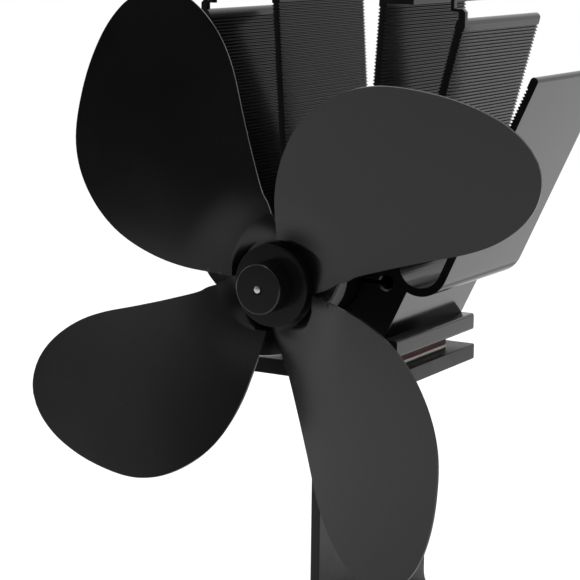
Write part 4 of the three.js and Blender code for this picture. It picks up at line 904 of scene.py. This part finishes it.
def headed_screw(head_radius, head_height, radius, length, socket_radius, socket_depth):
    """A screw round y: its head from 0 back, its thread forwards, a hexagon socket in the head."""
    head = lathe(softened(tube(0, head_radius, 0, head_height), HEAD_EDGE), 64, (0, 0))
    section = [(0, head_height / 2), (radius, head_height / 2), (radius, 0)]
    for i in range(int(length / THREAD_PITCH)):
        section += [
            (radius, -i * THREAD_PITCH - HALF_CREST), (radius - THREAD_DEPTH, -(i + 0.5) * THREAD_PITCH),
            (radius, -(i + 1) * THREAD_PITCH + HALF_CREST),
        ]
    section += [(radius - THREAD_POINT, -length), (0, -length)]
    whole = combined([head, lathe(section, 48, (0, 0))], "UNION")
    hexagon = circle(0, 0, socket_radius, 6)
    socket = bar(hexagon, head_height - socket_depth, head_height + OVERRUN, place_back)
    return combined([whole, socket], "DIFFERENCE")


def add_clamp_screw(index, x, y):
    length = SINK_BOTTOM + CLAMP_GRIP - WASHER_BOTTOM
    screw = headed_screw(CLAMP_HEAD_RADIUS, CLAMP_HEAD_HEIGHT, CLAMP_RADIUS, length,
                         CLAMP_SOCKET_RADIUS, CLAMP_SOCKET_DEPTH)
    for vert in screw.verts:
        across, along, up = vert.co
        vert.co = (x + across, y - up, WASHER_BOTTOM - along)
    node = f"clamp_screw_{index}"
    finished(f"{node}_steel", screw, SCREW, node)
    ring = softened(tube(CLAMP_RADIUS + FIT_GAP, WASHER_RADIUS, 0, WASHER_THICKNESS), WASHER_EDGE)
    washer = turned_upright(lathe(ring, 64, (0, 0)), x, y, WASHER_BOTTOM)
    node = f"clamp_washer_{index}"
    finished(f"{node}_ring", washer, FIBRE, node)


def add_set_screw():
    y = SINK_FRONT + SET_SCREW_INSET
    tip = AXIS + MOTOR_RADIUS + FIT_GAP
    top = tip + SET_SCREW_LENGTH
    pin = upright_pin(0, y, SET_SCREW_RADIUS, tip, top, 48)
    hexagon = circle(0, y, SET_SCREW_RADIUS / 2, 6)
    socket = bar(hexagon, tip + SET_SCREW_LENGTH / 2, top + OVERRUN, place_up)
    screw = combined([pin, socket], "DIFFERENCE")
    finished("motor_set_screw_steel", screw, SCREW, "motor_set_screw")


def add_rear_cover():
    back = SINK_BACK + COVER_THICKNESS
    port = AXIS - PORT_UNDER_AXIS
    quarter = math.pi / 2
    ears = [*arc(PORT_OFFSET, port, COVER_EAR, -quarter, quarter, 16),
            *arc(-PORT_OFFSET, port, COVER_EAR, quarter, 3 * quarter, 16)]
    half = LEAD_ENTRY_OFFSET + LEAD_RADIUS + FIT_GAP
    bottom = AXIS - HOUSING_RADIUS
    notch = rectangle(-half, half, bottom - OVERRUN, bottom + LEAD_RADIUS + COVER_NOTCH_RISE)
    holes = [circle(x, port, PORT_RADIUS, 40) for x in (-PORT_OFFSET, PORT_OFFSET)]
    loops = outline([circle(0, AXIS, HOUSING_RADIUS), ears, notch, *holes],
                    lambda held: held & {0, 1} and not held & {2, 3, 4})
    plate = prism(loops, SINK_BACK, back, place_back, COVER_RIM)
    finished("rear_cover_plate", plate, CAST, "rear_cover")
    for side, node in ((-1, "cover_screw_left"), (1, "cover_screw_right")):
        screw = headed_screw(COVER_HEAD_RADIUS, COVER_HEAD_HEIGHT, PORT_RADIUS - FIT_GAP, COVER_SCREW_LENGTH,
                             COVER_SOCKET_RADIUS, COVER_SOCKET_DEPTH)
        for vert in screw.verts:
            vert.co += Vector((side * PORT_OFFSET, back, port))
        finished(f"{node}_steel", screw, SCREW, node)


for index, (x, y) in enumerate(clamp_places(), 1):
    add_clamp_screw(index, x, y)
add_set_screw()
add_rear_cover()


# Motor

def add_motor():
    boss_front = MOTOR_FRONT - CAN_BOSS_LENGTH
    hole = BUSH_RADIUS + FIT_GAP
    section = [
        (hole, boss_front), (CAN_BOSS_RADIUS, boss_front), (CAN_BOSS_RADIUS, MOTOR_FRONT),
        (MOTOR_RADIUS, MOTOR_FRONT), (MOTOR_RADIUS, MOTOR_BACK), (MOTOR_RADIUS - CAN_WALL, MOTOR_BACK),
        (MOTOR_RADIUS - CAN_WALL, MOTOR_FRONT + CAN_WALL), (hole, MOTOR_FRONT + CAN_WALL),
    ]
    can = lathe(softened(section, CAN_EDGE, 4))
    finished("motor_can_shell", can, CAN, "motor_can")
    shaft = lathe(softened(tube(0, SHAFT_RADIUS, HUB_FRONT - SHAFT_PROUD, CAP_BACK), SHAFT_EDGE), 48)
    finished("motor_shaft_rod", shaft, STEEL, "motor_shaft", "fan")


def add_hub():
    section = [
        (BORED, HUB_FRONT), (BOSS_RADIUS, HUB_FRONT), (BOSS_RADIUS, FLANGE_FRONT),
        (HUB_FLANGE_RADIUS, FLANGE_FRONT), (HUB_FLANGE_RADIUS, SHEET_FRONT), (SPIGOT_RADIUS, SHEET_FRONT),
        (SPIGOT_RADIUS, WASHER_BACK + SPIGOT_PROUD), (BORED, WASHER_BACK + SPIGOT_PROUD),
    ]
    hub = lathe(softened(section, HUB_EDGE, 4))
    finished("fan_hub_turned", hub, HUB, "fan_hub", "fan")
    ring = tube(SPIGOT_RADIUS + FIT_GAP, HUB_WASHER_RADIUS, SHEET_BACK, WASHER_BACK)
    washer = lathe(softened(ring, HUB_WASHER_EDGE))
    finished("hub_washer_ring", washer, HUB, "hub_washer", "fan")


add_motor()
add_hub()


# Blades: one sheet, whose rows run from the edge of its hole to the tips, with a web between each two roots

BLADES = 4
SPACING = 2 * math.pi / BLADES
RAMP_GAP, RAMP_SHARE, RAMP_FADE = 0.7, 0.65, 14.0
RAMP_FROM = HUB_FLANGE_RADIUS + RAMP_GAP
# The crease's radius at the leading edge, its drawn middle and the trailing edge, over the tip radius
CREASE_SHARES = (0.222, 0.168, 0.149)
# Each station's reach over the tip radius, and its leading and trailing edges' angles in degrees
STATIONS = [
    (0.195, -31, 45), (0.235, -29, 45.4), (0.28, -26.6, 45.5), (0.4, -24.7, 42.2), (0.53, -23.9, 36.8),
    (0.66, -23.6, 28.8), (0.76, -22.6, 20.9), (0.85, -20.6, 11.4), (0.92, -18.1, 4), (0.965, -15.4, -1.2),
    (0.99, -12.8, -5.2), (1, -10.6, -8.2),
]
MIDDLE_SHARE, HALF_SPAN_SHARE = 0.596, 0.372
CONE, SWEEP, TWIST, CAMBER, SPAN_CAMBER = 0.094, 0.27, -0.024, -0.028, -0.029
TIP_SWEEP, TIP_CAMBER = -0.021, 0.042
BLADE_ROWS, BLADE_COLUMNS, WEB_COLUMNS, RAMP_STEPS = 80, 18, 4, 4


def station(share):
    """The blade's reach and edge angles at a share of its stations, on a smooth curve through them."""
    place = share * (len(STATIONS) - 1)
    index = min(int(place), len(STATIONS) - 2)
    t = place - index
    points = [Vector(STATIONS[i]) for i in (index, index + 1)]
    before = Vector(STATIONS[index - 1]) if index else 2 * points[0] - points[1]
    after = Vector(STATIONS[index + 2]) if index + 2 < len(STATIONS) else 2 * points[1] - points[0]
    start, end = (points[1] - before) / 2, (after - points[0]) / 2
    return (points[0] * (2 * t ** 3 - 3 * t ** 2 + 1) + start * (t ** 3 - 2 * t ** 2 + t)
            + points[1] * (3 * t ** 2 - 2 * t ** 3) + end * (t ** 3 - t ** 2))


def smoothstep(value, low, high):
    t = min(max((value - low) / (high - low), 0), 1)
    return t * t * (3 - 2 * t)


def blade_lift(along, across):
    """How far a blade stands in front of the flat centre."""
    half = HALF_SPAN_SHARE * TIP_RADIUS
    u, v = (along - MIDDLE_SHARE * TIP_RADIUS) / half, across / half
    return BLADE_RISE + half * (
        CONE * u + SWEEP * v + TWIST * u * v + CAMBER * v * v + SPAN_CAMBER * u * u
        + TIP_SWEEP * u * u * v + TIP_CAMBER * u * v * v)


def polar_lift(radius, angle):
    return blade_lift(radius * math.cos(math.radians(angle)), radius * math.sin(math.radians(angle)))


def crease_radius(share):
    leading, drawn, trailing = CREASE_SHARES
    rest = 1 - share
    return TIP_RADIUS * (leading * rest ** 2 + drawn * 2 * share * rest + trailing * share ** 2)


def crease_lift(share):
    _, leading, trailing = STATIONS[0]
    return polar_lift(crease_radius(share), leading + (trailing - leading) * share)


def centre_place(step, share):
    """A place on the centre: step 0 is the hole's edge, 1 the foot of the ramp, 2 the crease on top of it."""
    half = math.degrees(SPACING / 2)
    hole = SPIGOT_RADIUS + FIT_GAP
    if step <= 1:
        return hole + (RAMP_FROM - hole) * step, -half + 2 * half * share, 0
    past = step - 1
    leading = -half + (STATIONS[0][1] + half) * past
    trailing = half + (STATIONS[0][2] - half) * past
    radius = RAMP_FROM + (crease_radius(share) - RAMP_FROM) * past
    return radius, leading + (trailing - leading) * share, RAMP_SHARE * crease_lift(share) * past


def blade_place(row, share):
    """A place on a blade: row 0 is the crease and the last row the tip."""
    reach, leading, trailing = station(row / BLADE_ROWS)
    first = STATIONS[0][0] * TIP_RADIUS
    fade = 1 - smoothstep(reach * TIP_RADIUS - first, 0, CREASE_FADE)
    radius = reach * TIP_RADIUS + (crease_radius(share) - first) * fade
    angle = leading + (trailing - leading) * share
    held = 1 - smoothstep(radius - crease_radius(share), 0, RAMP_FADE)
    return radius, angle, polar_lift(radius, angle) - (1 - RAMP_SHARE) * crease_lift(share) * held


def web_place(place, share):
    """A place on the web from a blade's raised trailing root, share 0, to the neighbour's leading root."""
    radius, trailing, lift = place(1)
    past = (radius - RAMP_FROM) / (crease_radius(0) - RAMP_FROM)
    _, leading, low = centre_place(1 + past, 0)
    return radius, trailing + (leading + 360 / BLADES - trailing) * share, lift + (low - lift) * share


def sheet_point(blade, place, share):
    radius, angle, lift = place(share)
    turn = BLADE_ANGLE + blade * SPACING + math.radians(angle)
    return (radius * math.cos(turn), (SHEET_FRONT + SHEET_BACK) / 2 - lift, AXIS + radius * math.sin(turn))


def add_blades():
    mesh = bmesh.new()
    places = [partial(centre_place, step) for step in (0, 0.5)]
    places += [partial(centre_place, 1 + step / RAMP_STEPS) for step in range(RAMP_STEPS)]
    places += [partial(blade_place, row) for row in range(BLADE_ROWS + 1)]
    webs = [partial(web_place, place) for place in places[2:] if place(1)[0] <= crease_radius(0)]
    for blade in range(BLADES):
        for rows, columns in ((places, BLADE_COLUMNS), (webs, WEB_COLUMNS)):
            grid = [[mesh.verts.new(sheet_point(blade, place, i / columns)) for i in range(columns + 1)]
                    for place in rows]
            for one, two in zip(grid, grid[1:]):
                for i in range(columns):
                    mesh.faces.new((one[i], two[i], two[i + 1], one[i + 1]))
    bmesh.ops.remove_doubles(mesh, verts=mesh.verts, dist=10 * WELD)
    sheet = finished("blade_sheet", mesh, BLADE, "fan_blades", "fan", weighted=False)
    assign(sheet.modifiers.new("thickness", "SOLIDIFY"), thickness=BLADE_THICKNESS * MM, offset=0,
           use_even_offset=True)
    assign(sheet.modifiers.new("rim", "BEVEL"), width=SHEET_RIM * MM, segments=3, limit_method="ANGLE",
           angle_limit=RIM_ANGLE)
    add_weighted_normals(sheet)


add_blades()

for node, material in CAD_FINISHES.items():
    nodes[node].data.materials.clear()
    nodes[node].data.materials.append(material)


# Floor, background and light

FLOOR_WHITE, FLOOR_SIDE, FLOOR_FRONT, FLOOR_BACK = 0.82, 8.0, -0.8, 12.0
NEAR_GLOW, LIT_REACH, GLOWING_REACH = 0.22, 0.4, 1.3
DARK_SIDE, DARK, BRIGHT, OVERHEAD = (0.35, -0.94, 0.0), 0.04, 1.0, 0.5
DARK_FADE, OVERHEAD_FADE = (-0.1, 0.75), (0.25, 0.6)


def add_floor():
    """A white floor. Near the object it shows the shadow, and further off it turns into the plain white."""
    mesh = bmesh.new()
    corners = rectangle(-FLOOR_SIDE, FLOOR_SIDE, FLOOR_FRONT, FLOOR_BACK)
    mesh.faces.new([mesh.verts.new((x, y, 0)) for x, y in corners])
    floor = mesh_object("floor", mesh)
    n = Finish("floor_white")
    path = n.add("ShaderNodeLightPath").outputs
    seen = n.math("MAXIMUM", path["Is Camera Ray"], path["Is Glossy Ray"])
    seen = n.math("MAXIMUM", seen, path["Is Transmission Ray"])
    n.set(Base_Color=n.blended(n.noise(14, 2), FLOOR_WHITE, FLOOR_WHITE + 0.02), Roughness=0.9,
          Specular_IOR_Level=0)
    near = n.add("ShaderNodeEmission", {"Strength": n.math("MULTIPLY", seen, NEAR_GLOW)})
    lit = n.add("ShaderNodeAddShader", {0: n.shader.outputs[0], 1: near.outputs[0]})
    reach = n.add("ShaderNodeVectorMath", {0: n.places["Object"]}, operation="LENGTH").outputs["Value"]
    glow = n.math("MULTIPLY", seen, n.ranged(reach, 0, 1, (LIT_REACH, GLOWING_REACH)))
    far = n.add("ShaderNodeEmission")
    choose = n.add("ShaderNodeMixShader", {0: glow, 1: lit.outputs[0], 2: far.outputs[0]})
    n.feed(n.tree.nodes["Material Output"].inputs["Surface"], choose.outputs[0])
    floor.data.materials.append(n.owner)


def add_world():
    """White for the camera. What the object mirrors is white all round, but dark in front and half above."""
    world = bpy.data.worlds.new("studio")
    bpy.context.scene.world = world
    n = Nodes(world)
    direction = n.places["Generated"]
    facing = n.add("ShaderNodeVectorMath", {0: direction, 1: DARK_SIDE}, operation="DOT_PRODUCT")
    fade = n.ranged(facing.outputs["Value"], BRIGHT, DARK, DARK_FADE, interpolation_type="SMOOTHSTEP")
    high = n.ranged(n.split(direction)["Z"], 0, OVERHEAD, OVERHEAD_FADE, interpolation_type="SMOOTHSTEP")
    mirrored_white = n.add("ShaderNodeBackground", {"Color": 1, "Strength": n.math("MAXIMUM", fade, high)})
    white = n.tree.nodes["Background"]
    n.feed(white.inputs["Color"], 1)
    camera_ray = n.add("ShaderNodeLightPath").outputs["Is Camera Ray"]
    choose = n.add("ShaderNodeMixShader", {0: camera_ray, 1: mirrored_white.outputs[0], 2: white.outputs[0]})
    n.feed(n.tree.nodes["World Output"].inputs["Surface"], choose.outputs[0])


def add_lamp(name, place, aim, size, power):
    lamp = placed(name, assign(bpy.data.lights.new(name, "AREA"), shape="DISK", size=size, energy=power))
    turn = (Vector(aim) - Vector(place)).to_track_quat("-Z", "Y")
    assign(lamp, location=place, rotation_mode="QUATERNION", rotation_quaternion=turn)


add_floor()
add_world()
add_lamp("lamp_above", (0.1, 0.3, 1.7), (0, 0, 0.1), 1.2, 12)
add_lamp("lamp_left", (-1.3, -0.5, 0.7), (0, 0, 0.12), 0.7, 2)
bpy.context.scene.view_settings.view_transform = "Standard"
